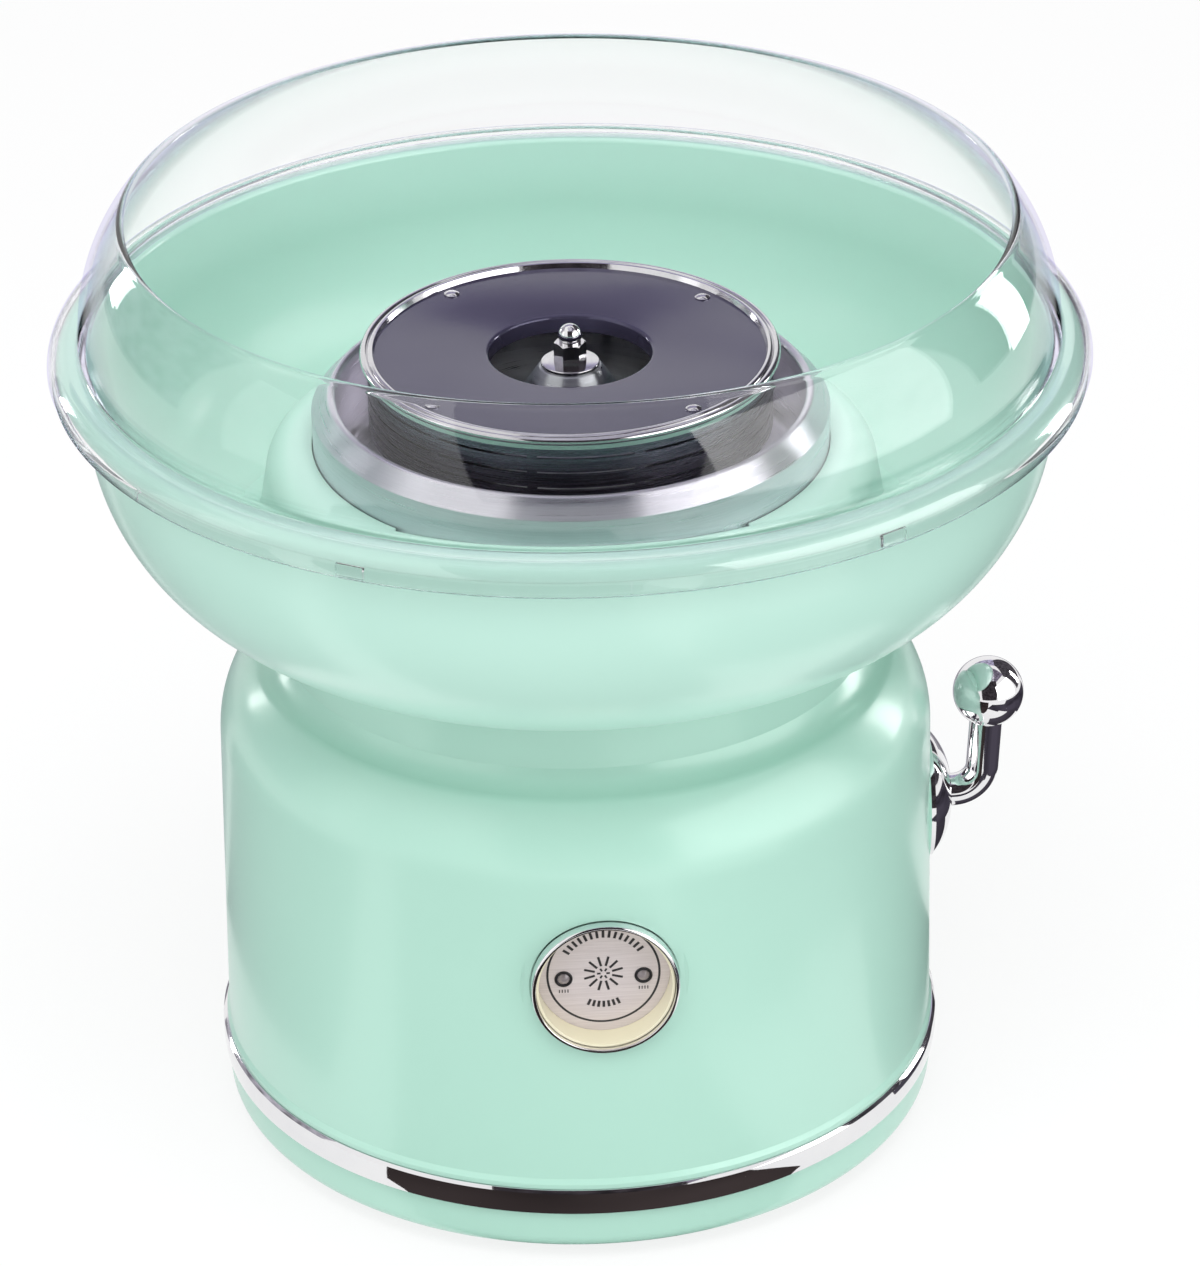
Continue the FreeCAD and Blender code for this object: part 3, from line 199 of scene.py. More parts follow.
def facing(side, height):
    # turns the vertical axis to point out of a side of the machine, at a height
    angle, axis = {"front": (90, "X"), "right": (90, "Y"), "back": (-90, "X")}[side]
    return shift(0, 0, height) @ Matrix.Rotation(math.radians(angle), 4, axis)


# geometry trees


def buildTurnedTree():
    # a closed profile with rounded corners, carried round the axis
    tree, start, end = newTree("turnedPiece", [
        ("Segments", "Int", 192), ("Round Steps", "Int", 6), ("Material", "Material", None)])
    curve = addNode(tree, "GeometryNodeMeshToCurve")
    rounding = addNode(tree, "GeometryNodeFilletCurve", {"Limit Radius": True}, mode="POLY")
    radius = addNode(tree, "GeometryNodeInputNamedAttribute", {"Name": "roundness"},
                     data_type="FLOAT")
    ring = addNode(tree, "GeometryNodeCurvePrimitiveCircle", {"Radius": 1.0})
    sweep = addNode(tree, "GeometryNodeCurveToMesh")
    weld = addNode(tree, "GeometryNodeMergeByDistance", {"Distance": weldGap})
    chain(tree, start, curve, rounding)
    plug(tree, radius.outputs[0], rounding.inputs["Radius"])
    plug(tree, start.outputs["Round Steps"], rounding.inputs["Count"])
    plug(tree, start.outputs["Segments"], ring.inputs["Resolution"])
    plug(tree, rounding.outputs[0], sweep.inputs["Profile Curve"])
    chain(tree, ring, sweep, weld)
    return closeTree(tree, weld, start, end)


def buildRingTree():
    # copies of the incoming mesh, evenly round the vertical axis
    tree, start, end = newTree("ringOfPieces", [
        ("Count", "Int", 4), ("Start Angle", "Float", 0.0), ("Sweep", "Float", 2 * math.pi),
        ("Material", "Material", None)])
    line = addNode(tree, "GeometryNodeMeshLine", {"Offset": (0, 0, 0)})
    points = addNode(tree, "GeometryNodeInstanceOnPoints")
    index = addNode(tree, "GeometryNodeInputIndex")
    share = addNode(tree, "ShaderNodeMath", operation="DIVIDE")
    turn = addNode(tree, "ShaderNodeMath", operation="MULTIPLY_ADD")
    axis = addNode(tree, "ShaderNodeCombineXYZ")
    chain(tree, index, share, turn)
    plug(tree, start.outputs["Count"], line.inputs["Count"])
    plug(tree, start.outputs["Count"], share.inputs[1])
    plug(tree, start.outputs["Sweep"], turn.inputs[1])
    plug(tree, start.outputs["Start Angle"], turn.inputs[2])
    plug(tree, turn.outputs[0], axis.inputs["Z"])
    plug(tree, start.outputs["Geometry"], points.inputs["Instance"])
    plug(tree, axis.outputs[0], points.inputs["Rotation"])
    chain(tree, line, points)
    return closeTree(tree, points, start, end)


def buildRodTree():
    # a round rod along the incoming path
    tree, start, end = newTree("bentRod", [
        ("Radius", "Float", 0.004), ("Bend", "Float", 0.008), ("Bend Steps", "Int", 16),
        ("Round", "Int", 48), ("Material", "Material", None)])
    curve = addNode(tree, "GeometryNodeMeshToCurve")
    bend = addNode(tree, "GeometryNodeFilletCurve", {"Limit Radius": True}, mode="POLY")
    ring = addNode(tree, "GeometryNodeCurvePrimitiveCircle")
    sweep = addNode(tree, "GeometryNodeCurveToMesh", {"Fill Caps": True})
    weld = addNode(tree, "GeometryNodeMergeByDistance", {"Distance": weldGap})
    chain(tree, start, curve, bend, sweep, weld)
    plug(tree, start.outputs["Bend"], bend.inputs["Radius"])
    plug(tree, start.outputs["Bend Steps"], bend.inputs["Count"])
    plug(tree, start.outputs["Round"], ring.inputs["Resolution"])
    plug(tree, start.outputs["Radius"], ring.inputs["Radius"])
    plug(tree, ring.outputs[0], sweep.inputs["Profile Curve"])
    return closeTree(tree, weld, start, end)


turnedTree = buildTurnedTree()
ringTree = buildRingTree()
rodTree = buildRodTree()
print("geometry trees built")


def circleArc(start, end, radius, turnsLeft, steps):
    # points between two ends on the shorter arc of a radius
    chord = Vector(end) - Vector(start)
    side = Vector((-chord.y, chord.x)).normalized()
    rise = math.sqrt(max(radius ** 2 - chord.length_squared / 4, 0))
    centre = (Vector(start) + Vector(end)) / 2 + side * (rise if turnsLeft else -rise)
    first = math.atan2(start[1] - centre.y, start[0] - centre.x)
    last = math.atan2(end[1] - centre.y, end[0] - centre.x)
    sweep = (last - first + math.pi) % (2 * math.pi) - math.pi
    return [(centre.x + radius * math.cos(first + sweep * step / steps),
             centre.y + radius * math.sin(first + sweep * step / steps), 0)
            for step in range(steps + 1)]


def boxSection(inner, outer, low, high):
    # a plain ring's profile
    return [(inner, low), (outer, low), (outer, high), (inner, high)]


def turnPiece(name, profile, material, segments=192, steps=6):
    # profile: (distance from axis, height, corner radius), a closed loop
    mesh = bpy.data.meshes.new(name + "Profile")
    count = len(profile)
    mesh.from_pydata([(point[0] * mm - 1.0, -point[1] * mm, 0) for point in profile],
                     [(index, (index + 1) % count) for index in range(count)], [])
    corners = mesh.attributes.new("roundness", "FLOAT", "POINT")
    for index, point in enumerate(profile):
        corners.data[index].value = point[2] * mm if len(point) > 2 else 0.0
    made = runTree(addObject(name + "Profile", mesh), turnedTree, {
        "Segments": segments, "Round Steps": steps, "Material": material}, name)
    faceOutwards(made)
    return made


def ringOf(source, name, count, material, startAngle=0.0, sweep=360.0):
    return runTree(source, ringTree, {
        "Count": count, "Start Angle": math.radians(startAngle),
        "Sweep": math.radians(sweep), "Material": material}, name)


def plainDisc(name, radius, low, high, segments=48):
    # a short closed cylinder on the vertical axis, used as a cutter or a blank
    work = bmesh.new()
    bmesh.ops.create_cone(work, cap_ends=True, segments=segments, radius1=radius * mm,
                          radius2=radius * mm, depth=(high - low) * mm,
                          matrix=shift(0, 0, (high + low) / 2))
    return addWork(name, work)


def block(name, across, along, up):
    # a closed box between the given limits
    work = bmesh.new()
    size = [(high - low) * mm for low, high in (across, along, up)]
    middle = [(high + low) / 2 for low, high in (across, along, up)]
    bmesh.ops.create_cube(work, size=1.0, matrix=shift(*middle) @ Matrix.Diagonal((*size, 1)))
    return addWork(name, work)


def joinPieces(name, parts):
    # several meshes as one object
    work = bmesh.new()
    materials = []
    for part in parts:
        slots = []
        for material in part.data.materials:
            if material not in materials:
                materials.append(material)
            slots.append(materials.index(material))
        before = len(work.faces)
        work.from_mesh(part.data)
        work.faces.ensure_lookup_table()
        for face in work.faces[before:]:
            face.material_index = slots[face.material_index] if slots else 0
        dropObject(part)
    made = addWork(name, work)
    for material in materials:
        made.data.materials.append(material)
    return made


# materials: each noise is given as scale, detail and roughness


def newMaterial(name):
    material = bpy.data.materials.new(name)
    material.use_nodes = True
    tree = material.node_tree
    return material, tree, tree.nodes["Principled BSDF"]


def objectPlace(tree):
    return addNode(tree, "ShaderNodeTexCoord").outputs["Object"]


def noiseOn(tree, where, scale, detail, roughness):
    noise = addNode(tree, "ShaderNodeTexNoise",
                    {"Scale": scale, "Detail": detail, "Roughness": roughness})
    plug(tree, where, noise.inputs["Vector"])
    return noise.outputs["Fac"]


def rampOf(tree, source, *stops):
    # two stops, each a position and a colour
    ramp = addNode(tree, "ShaderNodeValToRGB")
    for element, (position, colour) in zip(ramp.color_ramp.elements, stops):
        element.position = position
        element.color = (*colour, 1)
    plug(tree, source, ramp.inputs[0])
    return ramp.outputs[0]


def rangeOf(tree, source, low, high, fromLow, fromHigh):
    span = addNode(tree, "ShaderNodeMapRange", {
        "From Min": fromLow, "From Max": fromHigh, "To Min": low, "To Max": high})
    plug(tree, source, span.inputs["Value"])
    return span.outputs[0]


def mathOf(tree, operation, *values):
    node = addNode(tree, "ShaderNodeMath", operation=operation)
    for socket, value in zip(node.inputs, values):
        if isinstance(value, (int, float)):
            socket.default_value = value
        else:
            plug(tree, value, socket)
    return node.outputs[0]


def lengthOf(tree, first, second):
    squares = [mathOf(tree, "MULTIPLY", side, side) for side in (first, second)]
    return mathOf(tree, "SQRT", mathOf(tree, "ADD", *squares))


def paintOver(tree, base, mask, colour):
    # a fixed colour over the base, where the mask is white
    blend = addNode(tree, "ShaderNodeMix", {"B": (*colour, 1)}, data_type="RGBA")
    plug(tree, base, blend.inputs["A"])
    plug(tree, mask, blend.inputs["Factor"])
    return blend.outputs["Result"]


def toneOn(tree, shader, source, stops, shade, colour):
    # from shade to colour, between two stops of the source
    tone = rampOf(tree, source, (stops[0], shade), (stops[1], colour))
    plug(tree, tone, shader.inputs["Base Color"])
    return tone


def roughOn(tree, shader, source, low, high, stops):
    plug(tree, rangeOf(tree, source, low, high, *stops), shader.inputs["Roughness"])


def bumpOn(tree, shader, height, strength, distance, normal=None):
    bump = addNode(tree, "ShaderNodeBump", {"Strength": strength, "Distance": distance})
    plug(tree, height, bump.inputs["Height"])
    if normal is not None:
        plug(tree, normal, bump.inputs["Normal"])
    plug(tree, bump.outputs[0], shader.inputs["Normal"])
    return bump.outputs[0]


def mixShaders(tree, factor, first, second):
    blend = addNode(tree, "ShaderNodeMixShader")
    for socket, source in zip(blend.inputs, (factor, first, second)):
        plug(tree, source, socket)
    return blend.outputs[0]


plastic = {"drift": (9.0, 4.0, 0.55), "driftStops": (0.3, 0.7), "marks": (60.0, 3.0, 0.5),
           "markStops": (0.3, 0.7), "markShare": 0.06, "skin": (420.0, 2.0, 0.5),
           "skinDepth": 0.0002, "slow": (16.0, 1.0, 0.4), "index": 1.54, "coatRoughness": 0.13}


def plasticMaterial(name, colour, shade, roughness, coat=0.0, peel=0.12, speck=None, wave=0.0,
                    tint=(1, 1, 1), gloss=0.5):
    # moulded plastic: a slow drift of tone, a faint orange peel and fine handling marks
    p = SimpleNamespace(**plastic)
    material, tree, shader = newMaterial(name)
    where = objectPlace(tree)
    tone = toneOn(tree, shader, noiseOn(tree, where, *p.drift), p.driftStops, shade, colour)
    if speck:
        dots = addNode(tree, "ShaderNodeTexVoronoi", {"Scale": speck["scale"]})
        plug(tree, where, dots.inputs["Vector"])
        mask = rampOf(tree, dots.outputs["Distance"], (0.0, (1, 1, 1)), (speck["size"], (0, 0, 0)))
        plug(tree, paintOver(tree, tone, mask, speck["colour"]), shader.inputs["Base Color"])
    roughOn(tree, shader, noiseOn(tree, where, *p.marks), roughness * (1 - p.markShare),
            roughness * (1 + p.markShare), p.markStops)
    normal = bumpOn(tree, shader, noiseOn(tree, where, *p.skin), peel, p.skinDepth)
    if wave:
        # a slow unevenness, as in pressed and enamelled sheet
        bumpOn(tree, shader, noiseOn(tree, where, *p.slow), 1.0, wave * mm, normal)
    setInputs(shader, {"IOR": p.index, "Specular IOR Level": gloss, "Specular Tint": (*tint, 1),
                       "Coat Weight": coat, "Coat Roughness": p.coatRoughness})
    return material


polished = {"smudge": (35.0, 4.0, 0.6), "smudgeStops": (0.25, 0.65), "hairs": (1.0, 3.0, 0.6),
            "hairScale": (900.0, 60.0, 900.0), "hairTurn": (0.4, 0.7, 0.2), "hairDepth": 0.0001,
            "wear": 0.25, "wearStops": (0.4, 0.9), "smooth": 0.6, "worn": 1.6}


def polishedMaterial(name, colour, shade, roughness, scratch):
    # plated or polished metal: hairline scratches, soft smudges
    p = SimpleNamespace(**polished)
    material, tree, shader = newMaterial(name)
    where = objectPlace(tree)
    smudge = noiseOn(tree, where, *p.smudge)
    toneOn(tree, shader, smudge, p.smudgeStops, shade, colour)
    stretch = addNode(tree, "ShaderNodeMapping", {"Scale": p.hairScale, "Rotation": p.hairTurn})
    plug(tree, where, stretch.inputs["Vector"])
    hairs = noiseOn(tree, stretch.outputs[0], *p.hairs)
    both = mathOf(tree, "MULTIPLY_ADD", smudge, p.wear, hairs)
    roughOn(tree, shader, both, roughness * p.smooth, roughness * p.worn, p.wearStops)
    bumpOn(tree, shader, hairs, scratch, p.hairDepth)
    shader.inputs["Metallic"].default_value = 1.0
    return material


spun = {"ringScale": (1500.0, 1.6), "rings": (1.0, 4.0, 0.65), "bandScale": (120.0, 3.0),
        "bands": (1.0, 3.0, 0.5), "streak": 0.5, "streakStops": (0.45, 0.95),
        "ringStops": (0.3, 0.7), "smooth": 0.75, "worn": 1.3, "ringDepth": 0.00005,
        "spread": 0.9, "spreadTurn": 0.25}


def spunMaterial(name, colour, shade, roughness, lathe):
    # spun or brushed metal: fine rings about the vertical axis, which spread light up and down
    p = SimpleNamespace(**spun)
    material, tree, shader = newMaterial(name)
    parts = addNode(tree, "ShaderNodeSeparateXYZ")
    plug(tree, objectPlace(tree), parts.inputs[0])
    across, along, height = parts.outputs
    angle = mathOf(tree, "ARCTAN2", along, across)
    reach = lengthOf(tree, across, along)

    def roundNoise(fine, slow, noise):
        # fine across and up the piece, slow round it
        around = addNode(tree, "ShaderNodeCombineXYZ")
        for socket, value, scale in zip(around.inputs, (reach, angle, height), (fine, slow, fine)):
            plug(tree, mathOf(tree, "MULTIPLY", value, scale), socket)
        return noiseOn(tree, around.outputs[0], *noise)

    rings = roundNoise(*p.ringScale, p.rings)
    bands = roundNoise(*p.bandScale, p.bands)
    mixed = mathOf(tree, "MULTIPLY_ADD", bands, p.streak, rings)
    toneOn(tree, shader, mixed, p.streakStops, shade, colour)
    roughOn(tree, shader, rings, roughness * p.smooth, roughness * p.worn, p.ringStops)
    bumpOn(tree, shader, rings, lathe, p.ringDepth)
    tangent = addNode(tree, "ShaderNodeTangent", direction_type="RADIAL", axis="Z")
    plug(tree, tangent.outputs[0], shader.inputs["Tangent"])
    setInputs(shader, {"Metallic": 1.0, "Anisotropic": p.spread,
                       "Anisotropic Rotation": p.spreadTurn})
    return material


clear = {"tint": (0.99, 0.99, 0.995), "edge": (0.90, 0.89, 0.96), "edgePower": 4.0,
         "edgeStops": (0.1, 0.9), "grazing": (0.62, 0.86), "shadow": (0.97, 0.97, 0.98),
         "flow": (22.0, 2.0, 0.4), "flowShare": 0.12, "flowBump": 0.25, "flowDepth": 0.0012,
         "smear": (60.0, 3.0, 0.6), "smearStops": (0.4, 0.8), "smearRoughness": 0.02,
         "index": 1.25, "coat": 0.6, "coatRoughness": 0.03}


def clearMaterial(name):
    # clear moulded plastic, a little violet where it is seen edge on, that lets the lamps through
    c = SimpleNamespace(**clear)
    material, tree, shader = newMaterial(name)
    where = objectPlace(tree)
    flow = noiseOn(tree, where, *c.flow)
    slope = addNode(tree, "ShaderNodeLayerWeight", {"Blend": 0.5}).outputs["Facing"]
    steep = mathOf(tree, "POWER", slope, c.edgePower)
    drift = mathOf(tree, "MULTIPLY_ADD", flow, c.flowShare, steep)
    toneOn(tree, shader, drift, c.edgeStops, c.tint, c.edge)
    roughOn(tree, shader, noiseOn(tree, where, *c.smear), 0.0, c.smearRoughness, c.smearStops)
    bumpOn(tree, shader, flow, c.flowBump, c.flowDepth)
    setInputs(shader, {"IOR": c.index, "Transmission Weight": 1.0, "Coat Weight": c.coat,
                       "Coat Roughness": c.coatRoughness})
    edgeOn = addNode(tree, "ShaderNodeBsdfTransparent", {"Color": (*c.edge, 1)})
    seeThrough = addNode(tree, "ShaderNodeBsdfTransparent", {"Color": (*c.shadow, 1)})
    grazing = mixShaders(tree, rangeOf(tree, slope, 0.0, 1.0, *c.grazing),
                         shader.outputs[0], edgeOn.outputs[0])
    path = addNode(tree, "ShaderNodeLightPath")
    plug(tree, mixShaders(tree, path.outputs["Is Shadow Ray"], grazing, seeThrough.outputs[0]),
         tree.nodes["Material Output"].inputs["Surface"])
    return material


# name, colour, deeper shade, roughness
mint = plasticMaterial("mintGloss", (0.388, 0.630, 0.530), (0.378, 0.618, 0.518), 0.32,
                       coat=0.35, peel=0.05)
# the bowl's mint is a lighter copy of the housing's: painted light that makes up for the bowl lying
# darker under the clear guard
bowlMintPaintedLighter = plasticMaterial("mintBowl", (0.445, 0.682, 0.590), (0.430, 0.666, 0.573), 0.31,
                           coat=0.30, peel=0.04)
coverBlack = plasticMaterial("blackEnamel", (0.038, 0.034, 0.062), (0.028, 0.025, 0.045), 0.12,
                             peel=0.05, wave=2.0, tint=(0.72, 0.70, 1.0), gloss=0.68)
rubberBlack = plasticMaterial("blackRubber", (0.022, 0.022, 0.023), (0.015, 0.015, 0.016), 0.65,
                              peel=0.5)
blackPlastic = plasticMaterial("blackRim", (0.02, 0.02, 0.022), (0.012, 0.012, 0.014), 0.3)
ivoryPlastic = plasticMaterial("ivoryCup", (0.80, 0.76, 0.58), (0.72, 0.67, 0.48), 0.22)
lampGrey = plasticMaterial("smokedLens", (0.24, 0.21, 0.22), (0.18, 0.16, 0.17), 0.12, coat=0.4)
inkBlack = plasticMaterial("printInk", (0.035, 0.033, 0.035), (0.022, 0.021, 0.022), 0.4)
darkPlastic = plasticMaterial("switchPlastic", (0.055, 0.055, 0.058), (0.04, 0.04, 0.042), 0.45,
                              peel=0.3)
fanPlastic = plasticMaterial("fanPlastic", (0.13, 0.13, 0.14), (0.10, 0.10, 0.108), 0.4, peel=0.2)
boardGreen = plasticMaterial(
    "solderMask", (0.03, 0.17, 0.07), (0.02, 0.12, 0.05), 0.35,
    speck={"scale": 420.0, "size": 0.22, "colour": (0.55, 0.50, 0.42)})
ceramicWhite = plasticMaterial(
    "bisqueCeramic", (0.80, 0.77, 0.70), (0.70, 0.66, 0.58), 0.6, peel=0.4,
    speck={"scale": 900.0, "size": 0.12, "colour": (0.45, 0.40, 0.34)})
magnetGrey = plasticMaterial(
    "sinteredMagnet", (0.075, 0.073, 0.075), (0.045, 0.045, 0.047), 0.55, peel=0.5,
    speck={"scale": 1400.0, "size": 0.15, "colour": (0.16, 0.16, 0.165)})
# and how deep the scratches are
chrome = polishedMaterial("platedChrome", (0.84, 0.83, 0.84), (0.78, 0.77, 0.79), 0.04, 0.02)
steelBright = polishedMaterial("brightSteel", (0.74, 0.73, 0.75), (0.62, 0.61, 0.63), 0.10, 0.05)
platedSteel = polishedMaterial("platedSteel", (0.62, 0.61, 0.60), (0.48, 0.48, 0.49), 0.26, 0.15)
bronzeMetal = polishedMaterial("sinteredBronze", (0.60, 0.40, 0.18), (0.44, 0.28, 0.12), 0.34, 0.2)
oxideMetal = polishedMaterial("oxidisedElement", (0.17, 0.145, 0.135), (0.09, 0.078, 0.075),
                              0.42, 0.3)
# and how deep the lathe's rings are
trayMetal = spunMaterial("spunAluminium", (0.82, 0.80, 0.86), (0.70, 0.68, 0.74), 0.32, 0.1)
# the band's steel is far darker than bright steel: painted shade standing in for the dark the band
# mirrors
bandMetalPaintedDark = spunMaterial("steelBand", (0.26, 0.25, 0.31), (0.13, 0.12, 0.16), 0.26, 0.1)
panMetal = spunMaterial("greySteelPan", (0.58, 0.60, 0.62), (0.42, 0.43, 0.46), 0.34, 0.2)
turnedSteel = spunMaterial("turnedSteel", (0.60, 0.59, 0.60), (0.44, 0.44, 0.46), 0.28, 0.25)
rotorMetal = spunMaterial("laminatedRotor", (0.50, 0.27, 0.14), (0.24, 0.17, 0.13), 0.4, 0.35)
clearPlastic = clearMaterial("clearAcrylic")
print("materials built")

# housing

housing = {"foot": shared["bandTop"], "radius": 104.5, "lip": 0.7, "lipHeight": 1.6,
           "draft": 1.2, "wallSteps": 20, "shoulder": 120.6, "shoulderRadius": 30.8,
           "crease": 92.0, "creaseLevel": 144.44, "creaseBlend": 12,
           "neck": 84.8, "neckLevel": 150.5, "deck": shared["deck"], "deckRadius": 83.4,
           "tower": 69.2, "towerTop": 211, "towerWall": 1.5, "wall": 2.6, "cutReach": 12,
           # name, side, height and hole; then its seat's inner and outer radius, back and front
           "seats": (("badgeSeat", "front", shared["badge"], 21.1,
                      20.25, 23.6, 94.0, shared["badgeSeat"]),
                     ("leverSeat", "right", shared["lever"], 19.3,
                      5.6, 21.2, 93.4, shared["leverSeat"]),
                     ("glandSeat", "back", 45.0, 9.3, 6.75, 11.6, 97.8, 103.0))}


def makeHousing():
    h = SimpleNamespace(**housing)
    wallTop = h.radius - h.draft
    wallFoot = h.foot + 2 * h.lipHeight
    rise = h.shoulder - h.foot - 2 * h.lipHeight
    outside = [(h.radius + h.lip, h.foot, 0.25), (h.radius + h.lip, h.foot + h.lipHeight, 0.4),
               (h.radius, wallFoot, 0.8)]
    outside += [(h.radius - h.draft * step / h.wallSteps, wallFoot + rise * step / h.wallSteps, 0)
                for step in range(1, h.wallSteps)]
    outside += circleArc((wallTop, h.shoulder), (h.crease, h.creaseLevel),
                         h.shoulderRadius, True, 22)
    outside += circleArc((h.crease, h.creaseLevel), (h.neck, h.neckLevel),
                         h.creaseBlend, False, 8)[1:]
    outside += [(h.deckRadius, h.deck, 0.5), (h.tower, h.deck, 0.5), (h.tower, h.towerTop, 0.3),
                (h.tower - h.towerWall, h.towerTop, 0.3)]
    inside = [(h.tower - h.wall, h.deck - h.wall), (h.deckRadius - h.wall, h.deck - h.wall),
              (h.neck - h.wall, h.neckLevel), (h.crease - h.wall, h.creaseLevel - 1)]
    inside += circleArc((h.crease - h.wall, h.creaseLevel - 2), (wallTop - h.wall, h.shoulder),
                        h.shoulderRadius - h.wall, False, 8)
    inside += [(h.radius - h.wall, h.foot)]
    parts = [turnPiece("housing", outside + inside, mint, 256, 5)]
    for name, side, height, hole, inner, outer, back, front in h.seats:
        turn = facing(side, height)
        cutter = plainDisc("cutter", hole, h.radius - h.cutReach, h.radius + h.cutReach, 128)
        cutAway(parts[0], place(cutter, turn))
        seat = turnPiece(name, boxSection(inner, outer, back, front), mint, 96)
        parts.append(place(seat, turn))
    settle(joinPieces("housing_shell", parts), "base", ["body_shell"], 24)


makeHousing()

# base pan and bright band

basePan = {"radius": 104.8, "centre": 0.4, "foot": 3.5, "top": shared["bandFoot"], "edge": 5.0,
           "wall": 2.6, "spigot": 101.5, "spigotTop": 30.0,
           "vents": 16, "ventInner": 30, "ventOuter": 64, "ventHalf": 1.6, "ventReach": 6,
           "wells": 4, "well": 4.2, "wellTurn": 45, "wellReach": 5, "screwCircle": 92.0}


def makeBasePan():
    p = SimpleNamespace(**basePan)
    pan = turnPiece("base_dish", [
        (p.centre, p.foot), (p.radius, p.foot, p.edge), (p.radius, p.top, 0.4),
        (p.spigot, p.top), (p.spigot, p.spigotTop, 0.4), (p.spigot - p.wall, p.spigotTop, 0.4),
        (p.spigot - p.wall, p.top - p.wall), (p.radius - p.wall, p.top - p.wall),
        (p.radius - p.wall, p.foot + p.wall, p.edge - p.wall), (p.centre, p.foot + p.wall)],
        mint, 256, 8)
    vent = block("vent", (p.ventInner, p.ventOuter), (-p.ventHalf, p.ventHalf),
                 (p.foot - p.ventReach, p.foot + p.ventReach))
    cutAway(pan, ringOf(vent, "ventRing", p.vents, mint))
    well = plainDisc("well", p.well, p.foot - p.wellReach, p.foot + p.wellReach, 32)
    place(well, shift(p.screwCircle))
    cutAway(pan, ringOf(well, "wellRing", p.wells, mint, p.wellTurn))
    settle(pan, "base", ["base_pan"])


makeBasePan()

band = {"inner": 102.0, "radius": 106.3, "foot": shared["bandFoot"], "top": shared["bandTop"],
        "bulge": 22, "edge": 0.8}


def makeBand():
    b = SimpleNamespace(**band)
    face = circleArc((b.radius, b.foot + b.edge), (b.radius, b.top - b.edge), b.bulge, True, 8)
    profile = ([(b.inner, b.foot), (b.radius - b.edge, b.foot, 0.2)] + face
               + [(b.radius - b.edge, b.top, 0.2), (b.inner, b.top)])
    settle(turnPiece("bright_band", profile, chrome, 256, 4), "base", ["trim_band"])


makeBand()
print("housing, pan and band made")

# badge

badge = {"height": shared["badge"], "seat": shared["badgeSeat"], "front": 106.4, "bezel": 20.8,
         "bezelNeck": 20.1, "bezelInner": 19.6, "back": 94.4, "round": 0.9, "bevel": 0.2,
         "linerOuter": 19.5, "linerInner": 18.7, "linerFront": 104.6, "board": 88.2,
         "plate": 96.9, "plateBack": 95.9, "plateGap": 0.05, "lamp": 11.2, "lampDrop": 1.2,
         "lampRadius": 1.8, "lampBack": 6, "lensCurve": 2.6, "rimWall": 0.4, "rimLip": 0.35,
         "foil": (0.68, 0.62, 0.62), "foilShade": (0.58, 0.52, 0.52), "foilMetal": 0.15,
         "foilStops": (0.3, 0.7), "foilRoughness": (0.3, 0.42), "foilBump": (0.08, 0.0001),
         "grain": (1.0, 3.0, 0.6), "grainScale": (60.0, 60.0, 3000.0),
         "ring": 15.7, "ringHalf": 0.32, "ringInk": (0.03, 0.03, 0.035), "ink": 0.05,
         "inkRoot": 0.02, "rowDrop": 4.0, "rowSteps": (-1.2, -0.4, 0.4, 1.2),
         "dashHalf": (0.15, 0.5),
         # name, inner and outer radius, half width, count, first angle, sweep
         "ticks": (("topTick", 11.7, 13.9, 0.38, 15, 36, 115.7),
                   ("baseTick", 9.0, 11.0, 0.38, 7, 246, 56),
                   ("petal", 2.5, 5.6, 0.34, 12, 15, 360), ("seed", 0.8, 1.8, 0.28, 6, 0, 360))}


def badgeMaterial():
    # brushed lilac silver foil with a fine printed ring
    b = SimpleNamespace(**badge)
    material, tree, shader = newMaterial("badgeFoil")
    where = objectPlace(tree)
    centre = addNode(tree, "ShaderNodeMapping", {"Location": (0, 0, -b.height * mm)})
    parts = addNode(tree, "ShaderNodeSeparateXYZ")
    plug(tree, where, centre.inputs["Vector"])
    plug(tree, centre.outputs[0], parts.inputs[0])
    reach = lengthOf(tree, parts.outputs["X"], parts.outputs["Z"])
    off = mathOf(tree, "ABSOLUTE", mathOf(tree, "SUBTRACT", reach, b.ring * mm))
    ring = mathOf(tree, "LESS_THAN", off, b.ringHalf * mm)
    brushed = addNode(tree, "ShaderNodeMapping", {"Scale": b.grainScale})
    plug(tree, where, brushed.inputs["Vector"])
    grain = noiseOn(tree, brushed.outputs[0], *b.grain)
    tone = toneOn(tree, shader, grain, b.foilStops, b.foilShade, b.foil)
    plug(tree, paintOver(tree, tone, ring, b.ringInk), shader.inputs["Base Color"])
    roughOn(tree, shader, grain, *b.foilRoughness, (0.0, 1.0))
    bumpOn(tree, shader, grain, *b.foilBump)
    shader.inputs["Metallic"].default_value = b.foilMetal
    return material


def makeBadgeMarks():
    # printed marks on the plate: two arcs of ticks, a rosette and a short row under each lamp
    b = SimpleNamespace(**badge)
    face = (b.plate - b.inkRoot, b.plate + b.ink)
    parts = []
    for name, inner, outer, half, count, first, sweep in b.ticks:
        tick = block(name, (inner, outer), (-half, half), face)
        parts.append(ringOf(tick, name + "s", count, inkBlack, first, sweep))
    wide, tall = b.dashHalf
    dashes = [place(block("dash", (-wide, wide), (-tall, tall), face),
                    shift(side * b.lamp + step, -b.lampDrop - b.rowDrop))
              for side in (-1, 1) for step in b.rowSteps]
    rows = joinPieces("rows", dashes)
    rows.data.materials.append(inkBlack)
    return joinPieces("badge_marks", parts + [rows])


